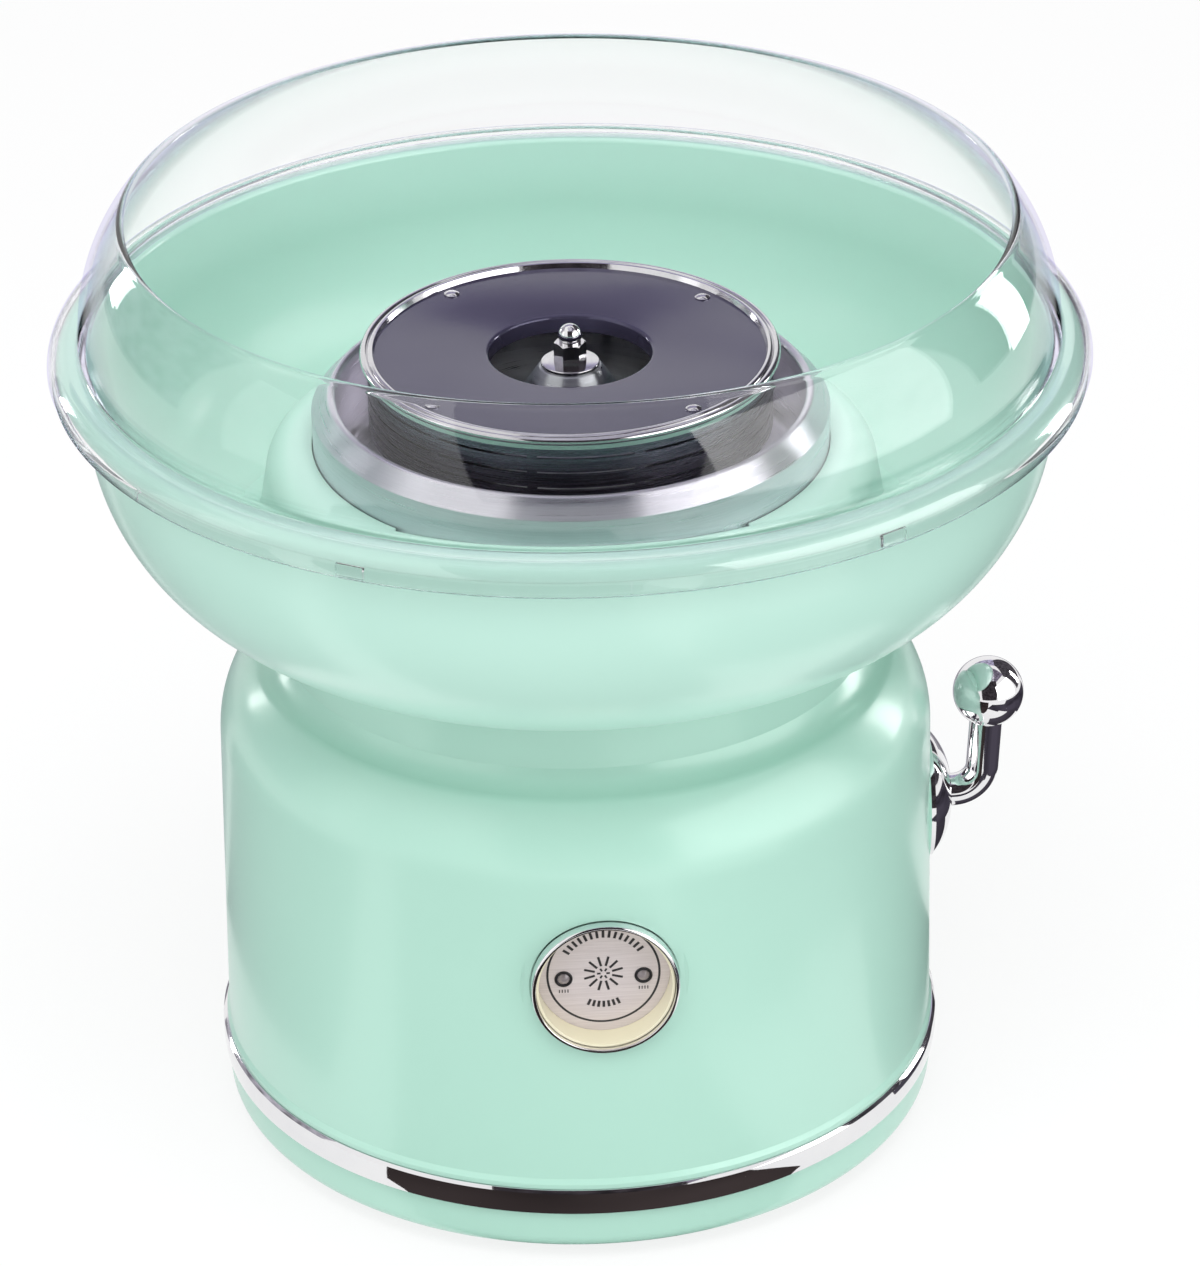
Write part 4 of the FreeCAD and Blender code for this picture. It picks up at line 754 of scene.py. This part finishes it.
def makeBadge():
    b = SimpleNamespace(**badge)
    front = facing("front", b.height)
    bezel = turnPiece("badge_ring", [
        (b.bezelNeck, b.seat), (b.bezel, b.seat), (b.bezel, b.front, b.round),
        (b.bezelInner, b.front, b.bevel), (b.bezelInner, b.back), (b.bezelNeck, b.back)],
        chrome, 160, 8)
    settle(place(bezel, front), "base", ["badge_bezel"], 40)
    liner = turnPiece("badge_cup", [
        (b.linerInner, b.linerFront, 0.2), (b.linerOuter, b.linerFront, 0.2),
        (b.linerOuter, b.board), (b.linerInner, b.board)], ivoryPlastic, 160, 4)
    settle(place(liner, front), "base", ["badge_liner"], 40)
    plate = plainDisc("badge_face", b.linerInner - b.plateGap, b.plateBack, b.plate, 128)
    plate.data.materials.append(badgeMaterial())
    rimOuter = b.lampRadius + b.rimWall
    sides = [shift(side * b.lamp, -b.lampDrop) for side in (-1, 1)]
    for aside in sides:
        cutAway(plate, place(plainDisc("hole", rimOuter, b.plateBack - 2, b.plate + 2), aside))
    settle(place(plate, front), "base", ["badge_plate"])
    settle(place(makeBadgeMarks(), front), "base")
    rims = [place(turnPiece("rim", [
        (b.lampRadius, b.plateBack), (rimOuter, b.plateBack), (rimOuter, b.plate),
        (rimOuter + b.rimLip, b.plate), (rimOuter + b.rimLip, b.plate + b.rimLip, 0.25),
        (b.lampRadius, b.plate + b.rimLip, 0.15)], blackPlastic, 48, 4), front @ aside)
        for aside in sides]
    settle(joinPieces("badge_lamp_rims", rims), "base", ["lamp_rims"], 40)
    dome = circleArc((b.lampRadius, b.plate), (axisGap, b.plate + b.lampRadius / 2),
                     b.lensCurve, True, 8)
    foot = b.plate - b.lampBack
    for name, node, aside in zip(("lens_ready", "lens_start"), ("ready_lamp", "start_lamp"), sides):
        lens = turnPiece(name, [(axisGap, foot), (b.lampRadius, foot)] + dome, lampGrey, 40, 2)
        settle(place(lens, front @ aside), "base", [node], 50)


makeBadge()
print("badge made")

# switch lever

lever = {"height": shared["lever"], "seat": shared["leverSeat"], "bore": 5.4, "disc": 19.0,
         "rim": 1.6, "top": 110.4, "dome": 22, "collar": 0.6, "slack": 0.3,
         "rod": 4.8, "rodStart": 104.0, "bendStart": 111.4, "bend": 8.6, "lean": 3.0,
         "ball": 10.4, "ballRise": 32.65}


def makeLever():
    v = SimpleNamespace(**lever)
    hole = v.rod + v.slack
    dome = circleArc((v.disc, v.seat + v.rim), (v.rod + v.collar, v.top), v.dome, True, 16)
    plate = turnPiece("lever_plate", [(v.bore, v.seat), (v.disc, v.seat, 0.3)] + dome + [
        (hole, v.top - v.rim), (hole, v.seat + v.rim), (v.bore, v.seat + v.rim / 2)],
        chrome, 128, 4)
    settle(place(plate, facing("right", v.height)), "base", ["lever_escutcheon"], 35)
    # the rod comes out level, bends up and leans out a little, with the ball on its end
    lean = math.radians(v.lean)
    bendReach = v.bendStart + v.bend * math.cos(lean)
    bendRise = v.bend - v.bend * math.sin(lean)
    corner = bendReach - bendRise * math.tan(lean)
    ballReach = bendReach + (v.ballRise - bendRise) * math.tan(lean)
    path = bpy.data.meshes.new("leverPath")
    path.from_pydata([(v.rodStart * mm, 0, v.height * mm), (corner * mm, 0, v.height * mm),
                      (ballReach * mm, 0, (v.height + v.ballRise) * mm)], [(0, 1), (1, 2)], [])
    rod = runTree(addObject("leverPath", path), rodTree, {
        "Radius": v.rod * mm, "Bend": v.bend * mm, "Bend Steps": 20, "Round": 64,
        "Material": chrome}, "lever_rod")
    faceOutwards(rod)
    settle(rod, "lever", ["lever_arm"], 40)
    half = circleArc((axisGap, -v.ball), (v.ball, 0), v.ball, True, 20)
    half += circleArc((v.ball, 0), (axisGap, v.ball), v.ball, True, 20)[1:]
    ball = place(turnPiece("lever_knob", half, chrome, 72, 2), Matrix.Rotation(lean, 4, "Y"))
    place(ball, shift(ballReach, 0, v.height + v.ballRise))
    settle(ball, "lever", ["lever_ball"], 40)


makeLever()
print("lever made")

# bowl

bowl = {"deck": shared["deck"], "arcCentre": 78.2, "arcHeight": 224.86, "arc": 58.5, "wall": 2.4,
        "footInner": 77.0, "footOuter": 84.0, "flare": 1.0,
        "lip": 144.2, "lipBase": 239.7, "lipTop": 243.85, "lipRound": 3.5, "lipDip": 0.65,
        "hubInner": 73.6, "hubEdge": 0.4, "hubTop": 210.6, "hubCrest": 78.3, "hubRound": 9.0,
        "hubSide": 89.5, "hubBase": 190.0, "hubBlend": 14.0}


def makeBowl():
    b = SimpleNamespace(**bowl)
    innerArc = b.arc - b.wall
    outer = b.arcCentre + b.arc
    inner = b.arcCentre + innerArc
    arcFoot = b.arcHeight - math.sqrt(b.arc ** 2 - (b.footOuter - b.arcCentre) ** 2)
    blendFoot = b.hubSide + b.hubBlend
    floor = b.arcHeight - math.sqrt(innerArc ** 2 - (blendFoot - b.arcCentre) ** 2)
    hubOuter = b.hubCrest + b.hubRound
    hubShoulder = b.hubTop - b.hubRound
    # up the outside, over the lip, down into the bowl, over the hub and back under it
    profile = [(b.footInner, b.deck), (b.footOuter, b.deck, 0.3)]
    profile += circleArc((b.footOuter, arcFoot + b.flare), (outer, b.arcHeight), b.arc, True, 40)
    profile += [(outer + b.flare, b.lipBase, 0.8), (b.lip, b.lipBase, 0.5)]
    profile += circleArc((b.lip, b.lipBase + b.lipDip), (b.lip - b.lipRound, b.lipTop),
                         b.lipRound, True, 12)
    profile += [(inner + b.flare, b.lipTop, 1.6)]
    profile += circleArc((inner, b.arcHeight), (blendFoot, floor), innerArc, False, 34)
    profile += circleArc((blendFoot, floor), (b.hubSide, b.hubBase), b.hubBlend, False, 14)[1:]
    profile += circleArc((hubOuter, hubShoulder), (b.hubCrest, b.hubTop), b.hubRound, True, 12)
    profile += circleArc((b.hubInner + b.hubEdge, b.hubTop), (b.hubInner, b.hubTop - b.hubEdge),
                         b.hubEdge, True, 4)
    profile += [(b.hubInner, b.hubTop - b.wall)]
    profile += circleArc((b.hubCrest, b.hubTop - b.wall), (hubOuter - b.wall, hubShoulder),
                         b.hubRound - b.wall, False, 8)
    profile += [(b.hubSide - b.wall, b.deck + 2 * b.wall, 2),
                (b.footInner, b.deck + b.wall, 0.5)]
    settle(turnPiece("candy_bowl", profile, bowlMintPaintedLighter, 288, 5), "bowl", ["bowl"], 28)


makeBowl()
print("bowl made")

# clear guard

guard = {"arcCentre": 90.0, "arcHeight": 250.1, "arc": 47.7, "wall": 2.0, "top": 281.3,
         "topRound": 1.4, "flange": 140.9, "flangeHeight": 240.0, "flangeRadius": 6.0,
         "step": 1.4, "blend": 1.5, "skirt": 236.0, "tuck": 1.2, "clips": 6, "clipTurn": 2.0,
         "clipInner": 142.8, "clipHalf": 3.9, "clipFoot": 0.1, "clipHeight": 3.4, "bite": 0.3,
         "markHalf": 0.3, "markFoot": 0.2}


def makeGuard():
    g = SimpleNamespace(**guard)

    def onArc(radius, level):
        return g.arcCentre + math.sqrt(radius ** 2 - (level - g.arcHeight) ** 2), level

    innerArc = g.arc - g.wall
    crest = g.flangeHeight + g.flangeRadius
    outerFoot, outerTop = onArc(g.arc, crest + g.step), onArc(g.arc, g.top)
    innerFoot, innerTop = onArc(innerArc, crest + g.step), onArc(innerArc, g.top)
    edge = g.flange + g.flangeRadius
    skirtInner = edge - g.tuck - g.wall
    # up the skirt, over the flange and the dome to the top, and back down inside
    profile = [(skirtInner, g.skirt, 0.3), (edge - g.tuck, g.skirt, 0.3)]
    profile += circleArc((edge, g.flangeHeight), (g.flange, crest), g.flangeRadius, True, 14)
    profile += circleArc((outerFoot[0] + g.blend, crest), outerFoot, g.blend, False, 4)
    profile += circleArc(outerFoot, outerTop, g.arc, True, 36)[1:]
    profile += circleArc(outerTop, innerTop, g.topRound, True, 6)[1:]
    profile += circleArc(innerTop, innerFoot, innerArc, False, 36)[1:]
    profile += [(innerFoot[0], crest - g.wall, 0.6)]
    profile += circleArc((g.flange, crest - g.wall), (edge - g.wall, g.flangeHeight),
                         g.flangeRadius - g.wall, False, 10)
    shell = turnPiece("guardShell", profile, clearPlastic, 288, 4)
    clip = block("clip", (g.clipInner, skirtInner + g.bite), (-g.clipHalf, g.clipHalf),
                 (g.skirt + g.clipFoot, g.skirt + g.clipHeight))
    mark = block("mark", (skirtInner - g.bite, skirtInner + g.bite), (-g.markHalf, g.markHalf),
                 (g.skirt + g.markFoot, g.flangeHeight))
    clips = ringOf(clip, "clips", g.clips, clearPlastic, g.clipTurn)
    marks = ringOf(mark, "marks", g.clips, clearPlastic, g.clipTurn + 180 / g.clips)
    settle(joinPieces("clear_guard", [shell, clips, marks]), "guard", ["guard"], 35)


makeGuard()
print("guard made")

# heater tray

tray = {"hole": 9.0, "collar": 5, "floor": 199.0, "radius": 67.4, "sheet": 1.0, "corner": 3.0,
        "rim": 226.4, "rimRadius": 69.1, "roll": 1.2, "lip": 1.5, "skirt": 73.4,
        "skirtTop": 221.2, "skirtBase": 209.4}


def makeTray():
    t = SimpleNamespace(**tray)
    inner = t.radius - t.sheet
    skirtInner = t.skirt - t.sheet
    rollTop = (t.rimRadius - t.roll, t.rim)
    profile = [(t.hole, t.floor), (t.radius, t.floor, t.corner),
               (t.radius, t.rim - 2 * t.roll, 0.6), (skirtInner, t.skirtTop - t.sheet, 0.5),
               (skirtInner, t.skirtBase), (t.skirt, t.skirtBase, 0.3), (t.skirt, t.skirtTop, 0.6)]
    profile += circleArc((t.rimRadius, t.rim - t.roll / 2), rollTop, t.roll, True, 8)
    profile += circleArc(rollTop, (inner, t.rim - t.lip), t.lip, True, 8)[1:]
    profile += [(inner, t.floor + t.sheet, t.corner - t.sheet),
                (t.hole + t.sheet, t.floor + t.sheet), (t.hole + t.sheet, t.floor + t.collar, 0.3),
                (t.hole, t.floor + t.collar, 0.3)]
    settle(turnPiece("heater_dish", profile, trayMetal, 256, 5), "base",
           ["heater_tray"], 28)


makeTray()

# spinning head

head = {"band": 57.3, "sheet": 0.6, "bandBase": 216.4, "bandTop": 236.6,
        "slits": 12, "slitRows": 3, "slitLength": 27, "slitHalf": 0.35, "slitFirst": 223.0,
        "slitPitch": 4.8, "slitInside": 2, "slitOutside": 1, "slitSteps": 8,
        "coverTop": 237.8, "coverRadius": 57.0, "coverRound": 1.1, "hole": 23.0, "collar": 5.2,
        "collarWall": 1, "rimInner": 55.2, "rimOuter": 59.4, "rimTop": 239.2, "rimFoot": 235.6,
        "rimGap": 0.1, "bead": 1.1, "valley": 0.55,
        "pan": 56.6, "panSheet": 1, "panFloor": 219.0, "panFlat": 44, "panLip": 221.5,
        "boss": 8.8, "bossTop": 233.5, "bossFoot": 17.0, "bossLevel": 221.5,
        "shaft": 2.5, "washer": 8.3, "washerThick": 1.2, "rivets": 4, "rivetCircle": 51.0,
        "rivetTurn": 37.5, "rivet": 2.2, "rivetShank": 1.5, "rivetEdge": 0.35, "rivetDome": 1.0,
        "rivetCurve": 3.2}


def makeHeadBand():
    # a thin drum with rows of fine slits cut through it
    h = SimpleNamespace(**head)
    drum = turnPiece("slit_band", boxSection(h.band - h.sheet, h.band, h.bandBase, h.bandTop),
                     bandMetalPaintedDark, 240, 3)
    half = math.asin(h.slitLength / 2 / h.band)
    section = boxSection(h.band - h.slitInside, h.band + h.slitOutside, -h.slitHalf, h.slitHalf)
    work = bmesh.new()
    for row in range(h.slitRows):
        level = h.slitFirst + row * h.slitPitch
        rings = []
        for step in range(h.slitSteps + 1):
            angle = -half + 2 * half * step / h.slitSteps
            rings.append([work.verts.new((reach * mm * math.cos(angle),
                                          reach * mm * math.sin(angle), (level + height) * mm))
                          for reach, height in section])
        for before, after in zip(rings, rings[1:]):
            for corner in range(4):
                other = (corner + 1) % 4
                work.faces.new((before[corner], before[other], after[other], after[corner]))
        work.faces.new(rings[0])
        work.faces.new(rings[-1][::-1])
    bmesh.ops.recalc_face_normals(work, faces=work.faces)
    cutter = ringOf(addWork("slitCutter", work), "slitCutters", h.slits, bandMetalPaintedDark, 90)
    cutAway(drum, cutter)
    settle(drum, "head", ["head_band"])


def makeHeadCover():
    h = SimpleNamespace(**head)
    collar = h.hole + h.collarWall
    cover = turnPiece("head_lid", [
        (h.hole, h.coverTop - h.collar, 0.3), (collar, h.coverTop - h.collar, 0.3),
        (collar, h.bandTop, 0.3), (h.coverRadius, h.bandTop), (h.coverRadius, h.coverTop),
        (h.hole, h.coverTop, h.coverRound)], coverBlack)
    settle(cover, "head", ["head_cover"], 35)


def makeHeadRim():
    # two beads with a shallow valley between them
    h = SimpleNamespace(**head)
    foot = h.band + h.rimGap
    waist = h.rimOuter - h.bead
    valley = ((h.rimInner + h.rimOuter) / 2, h.rimTop - h.valley)
    rim = [(h.rimInner, h.coverTop), (foot, h.coverTop), (foot, h.rimFoot), (waist, h.rimFoot)]
    rim += circleArc((waist, h.rimTop - 2 * h.bead), (h.rimOuter, h.rimTop - h.bead),
                     h.bead, True, 4)
    ends = ((h.rimOuter, h.rimTop - h.bead), (waist, h.rimTop), valley,
            (h.rimInner + h.bead / 2, h.rimTop))
    for start, end, steps in zip(ends, ends[1:], (5, 4, 4)):
        rim += circleArc(start, end, h.bead, True, steps)[1:]
    settle(turnPiece("head_bead", rim, steelBright, 224, 3), "head",
           ["head_rim"], 40)


def makeHeadPan():
    h = SimpleNamespace(**head)
    t = h.panSheet
    pan = turnPiece("head_floor", [
        (h.shaft, h.bossTop - t), (h.boss, h.bossTop - t, 0.5), (h.bossFoot, h.bossLevel - t, 3),
        (h.panFlat, h.panFloor - t, 3), (h.pan, h.panFloor - t, 2.2), (h.pan, h.panLip, 0.3),
        (h.pan - t, h.panLip, 0.3), (h.pan - t, h.panFloor, 1.2), (h.panFlat, h.panFloor, 3),
        (h.bossFoot, h.bossLevel, 3), (h.boss, h.bossTop, 0.8), (h.shaft, h.bossTop)],
        panMetal, 160, 5)
    settle(pan, "head", ["head_pan"], 35)


def makeHeadFixings():
    h = SimpleNamespace(**head)
    washerTop = h.bossTop + h.washerThick
    washer = turnPiece("head_disc_washer", [
        (h.shaft, h.bossTop), (h.washer, h.bossTop, 0.2), (h.washer, washerTop, 0.3),
        (h.shaft, washerTop)], steelBright, 72, 4)
    settle(washer, "head", ["head_washer"], 40)
    dome = circleArc((h.rivet, h.coverTop + h.rivetEdge), (axisGap, h.coverTop + h.rivetDome),
                     h.rivetCurve, True, 5)
    rivet = turnPiece("rivet", [
        (axisGap, h.panFloor), (h.rivetShank, h.panFloor), (h.rivetShank, h.coverTop),
        (h.rivet, h.coverTop, 0.1)] + dome, steelBright, 28, 2)
    place(rivet, shift(h.rivetCircle))
    settle(ringOf(rivet, "lid_rivets", h.rivets, steelBright, h.rivetTurn),
           "head", ["cover_rivets"], 40)


makeHeadBand()
makeHeadCover()
makeHeadRim()
makeHeadPan()
makeHeadFixings()
print("tray and head made")

# carried-over nodes get their own finishes

finishes = {
    "rubber_feet": rubberBlack, "cord_gland": rubberBlack, "motor_mounts": rubberBlack,
    "base_screws": steelBright, "tray_screws": steelBright, "motor_screws": steelBright,
    "head_nut": steelBright, "shaft_cap": chrome, "drive_shaft": turnedSteel,
    "drive_collar": turnedSteel, "switch_spindle": turnedSteel, "motor_can": turnedSteel,
    "lamp_board": boardGreen, "rotary_switch": darkPlastic, "terminal_block": darkPlastic,
    "motor_end_cap": darkPlastic, "cooling_fan": fanPlastic, "element_stands": ceramicWhite,
    "motor_plate": platedSteel, "thermostat": platedSteel, "thermal_fuse": platedSteel,
    "heater_element": oxideMetal, "motor_magnets": magnetGrey, "motor_rotor": rotorMetal,
    "motor_bushes": bronzeMetal}
for name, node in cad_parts.items():
    node.data.materials.clear()
    node.data.materials.append(finishes.get(name, platedSteel))
print("carried-over nodes painted")

# stage, camera and light, in metres and degrees

stage = {"reach": 3.0, "white": 0.88, "glow": 0.82, "soft": 0.66, "softTint": (0.98, 0.985, 1.0),
         "middle": 0.15, "cardHeight": 0.0004, "folds": (5.0, 2.0, 0.5)}


def seenRays(tree):
    # 1 for what the camera, a mirror or clear plastic looks at
    rays = addNode(tree, "ShaderNodeLightPath").outputs
    return mathOf(tree, "MAXIMUM", rays["Is Camera Ray"], mathOf(
        tree, "MAXIMUM", rays["Is Glossy Ray"], rays["Is Transmission Ray"]))


def hideFrom(thing, *rays):
    for kind in rays:
        setattr(thing, "visible_" + kind, False)


def addSheet(name, corners, material):
    # one flat face or a strip of them, part of the studio only
    mesh = bpy.data.meshes.new(name)
    mesh.from_pydata(corners, [], [[index, index + 1, index + 3, index + 2]
                                   for index in range(0, len(corners) - 2, 2)])
    mesh.materials.append(material)
    made = addObject(name, mesh)
    return made


def makeFloor():
    material, tree, shader = newMaterial("floorPaper")
    setInputs(shader, {"Base Color": (stage["white"],) * 3 + (1,), "Roughness": 0.9,
                       "Specular IOR Level": 0.1})
    glow = addNode(tree, "ShaderNodeEmission", {"Color": (1, 1, 1, 1), "Strength": 1.0})
    factor = mathOf(tree, "MULTIPLY", seenRays(tree), stage["glow"])
    plug(tree, mixShaders(tree, factor, shader.outputs[0], glow.outputs[0]),
         tree.nodes["Material Output"].inputs["Surface"])
    reach = stage["reach"]
    addSheet("floor", [(x, y, 0) for y in (-reach, reach) for x in (-reach, reach)], material)


def makeWorld():
    # soft light, and plain white to look at
    world = bpy.data.worlds.new("studio")
    scene.world = world
    world.use_nodes = True
    tree = world.node_tree
    soft = tree.nodes["Background"]
    setInputs(soft, {"Color": (*stage["softTint"], 1), "Strength": stage["soft"]})
    plain = addNode(tree, "ShaderNodeBackground", {"Color": (1, 1, 1, 1), "Strength": 1.0})
    plug(tree, mixShaders(tree, seenRays(tree), soft.outputs[0], plain.outputs[0]),
         tree.nodes["World Output"].inputs["Surface"])


def aimedFrom(azimuth, elevation, distance):
    # a place that looks at the machine's middle; azimuth is from the front towards the right
    turn, rise = math.radians(azimuth), math.radians(elevation)
    middle = Vector((0, 0, stage["middle"]))
    spot = Vector((math.sin(turn) * math.cos(rise), -math.cos(turn) * math.cos(rise),
                   math.sin(rise))) * distance + middle
    return Matrix.Translation(spot) @ (middle - spot).to_track_quat("-Z", "Y").to_matrix().to_4x4()


def addLight(name, azimuth, elevation, distance, width, height, brightness):
    # a soft lamp that lights the object and isn't seen in it
    light = bpy.data.lights.new(name, "AREA")
    light.shape = "RECTANGLE"
    light.size = width
    light.size_y = height
    light.energy = brightness * math.pi * width * height
    made = addObject(name, light)
    made.matrix_world = aimedFrom(azimuth, elevation, distance)
    hideFrom(made, "camera", "glossy", "transmission")


def clothMaterial(name, shade, uneven):
    # a cloth that only shows in gloss, uneven enough to give soft gradients in the chrome
    material, tree, _ = newMaterial(name)
    low, high = ([share * value for value in shade] for share in uneven)
    folds = noiseOn(tree, objectPlace(tree), *stage["folds"])
    cloth = addNode(tree, "ShaderNodeEmission", {"Strength": 1.0})
    plug(tree, rampOf(tree, folds, (0.35, low), (0.65, high)), cloth.inputs["Color"])
    depth = addNode(tree, "ShaderNodeLightPath").outputs["Glossy Depth"]
    nothing = addNode(tree, "ShaderNodeBsdfTransparent")
    plug(tree, mixShaders(tree, mathOf(tree, "GREATER_THAN", depth, 0.5), nothing.outputs[0],
                          cloth.outputs[0]), tree.nodes["Material Output"].inputs["Surface"])
    material.cycles.emission_sampling = "NONE"
    return material


def addCloth(name, corners, shade, uneven=(0.55, 1.7)):
    # met by glossy rays alone
    cloth = addSheet(name, corners, clothMaterial(name, shade, uneven))
    hideFrom(cloth, "camera", "diffuse", "volume_scatter", "shadow")


def addFlag(name, azimuth, elevation, distance, width, height, *look):
    spot = aimedFrom(azimuth, elevation, distance)
    addCloth(name, [spot @ Vector((x * width / 2, y * height / 2, 0))
                    for x in (-1, 1) for y in (-1, 1)], *look)


def sector(first, last, step, inner, outer):
    # rows of a ring sector on the floor, azimuth from the front towards the right
    return [[(math.sin(math.radians(angle)) * reach, -math.cos(math.radians(angle)) * reach)
             for reach in (inner, outer)] for angle in range(first, last, step)]


studio = {
    "evenness": (0.92, 1.04),
    # name, azimuth, elevation, distance, width, height, brightness
    "fills": (("rightFill", 62, 14, 1.5, 1.3, 1.3, 1.2),
              ("frontFill", -8, 6, 1.8, 1.3, 0.5, 1.6),
              ("leftFill", -50, 30, 1.7, 1.0, 1.0, 1.75),
              ("topFill", -5, 62, 1.7, 1.2, 1.2, 1.65),
              ("bowlFill", -5, 74, 1.7, 1.2, 1.2, 3.0)),
    # bright cloths, given in the same way
    "boxes": (("rightBox", 57, 8, 1.35, 1.55, 1.75, 3.3),
              ("leftStrip", -78, 4, 1.4, 0.32, 1.5, 1.6),
              ("backLeftStrip", -134, 10, 1.4, 0.12, 0.34, 11.0),
              ("backRightStrip", 116, 10, 1.4, 0.26, 0.60, 9.4)),
    # darker cloths, with a shade instead of the brightness
    "flags": (("frontFlag", -1, 28, 1.9, 1.8, 2.8, (0.035, 0.03, 0.035)),
              ("rightFlag", 126, 25, 2.2, 2.6, 2.6, (0.06, 0.055, 0.065)),
              ("overFlag", 0, 80, 2.1, 1.3, 1.8, (0.50, 0.49, 0.57)),
              ("topFlag", 60, 75, 2.2, 1.8, 1.8, (0.16, 0.14, 0.19)),
              ("leftFlag", -122, 20, 2.3, 2.0, 2.6, (0.35, 0.34, 0.38)),
              ("backFlag", 180, 45, 2.4, 2.2, 1.3, (0.36, 0.34, 0.47))),
    # cards on the floor: shade, and the ends of their rows in millimetres
    "cards": (("frontCard", (0.032, 0.025, 0.025),
               (((-88, -96), (78, -96)), ((-170, -140), (88, -140)), ((-330, -220), (90, -220)),
                ((-600, -420), (70, -420)), ((-700, -700), (40, -700)))),
              ("rightCard", (0.045, 0.04, 0.055), sector(56, 136, 8, 235, 700)),
              ("leverCard", (0.045, 0.04, 0.055), sector(21, 60, 5, 216, 420)),
              ("underCard", (0.05, 0.045, 0.06),
               (((124, -45), (240, -45)), ((124, 70), (240, 70)))),
              ("backCard", (0.34, 0.33, 0.37), sector(136, 230, 8, 170, 700)),
              ("leftCard", (0.20, 0.195, 0.21), sector(-130, -58, 8, 160, 500)))}


def makeStudio():
    # lamps that light the machine, and cloths and cards that its gloss mirrors
    for settings in studio["fills"]:
        addLight(*settings)
    for *spot, bright in studio["boxes"]:
        addFlag(*spot, (bright, bright, bright), studio["evenness"])
    for settings in studio["flags"]:
        addFlag(*settings)
    for name, shade, rows in studio["cards"]:
        addCloth(name, [(x * mm, y * mm, stage["cardHeight"]) for row in rows for x, y in row],
                 shade)


camera = {"place": (-0.1024, -1.4614, 0.9399), "turn": 4.3, "pitch": 28.42, "roll": 0.70,
          "focal": 5758.0, "tall": 1266.0, "sensor": 36.0, "near": 0.05, "far": 50}


def makeCamera():
    c = SimpleNamespace(**camera)
    data = bpy.data.cameras.new("camera")
    data.sensor_fit = "AUTO"
    data.sensor_width = c.sensor
    data.lens = c.focal / c.tall * c.sensor
    data.clip_start = c.near
    data.clip_end = c.far
    turn, pitch, roll = (math.radians(angle) for angle in (c.turn, c.pitch, c.roll))
    right = Vector((math.cos(turn), -math.sin(turn), 0))
    ahead = Vector((math.sin(turn), math.cos(turn), 0))
    forward = ahead * math.cos(pitch) - Vector((0, 0, 1)) * math.sin(pitch)
    up = ahead * math.sin(pitch) + Vector((0, 0, 1)) * math.cos(pitch)
    cameraX = right * math.cos(roll) - up * math.sin(roll)
    cameraY = right * math.sin(roll) + up * math.cos(roll)
    turned = Matrix((cameraX, cameraY, -forward)).transposed().to_4x4()
    scene.camera = addObject("camera", data)
    scene.camera.matrix_world = Matrix.Translation(c.place) @ turned


makeFloor()
makeWorld()
makeCamera()
makeStudio()
scene.view_settings.view_transform = "Standard"
print("stage, camera and lights set")
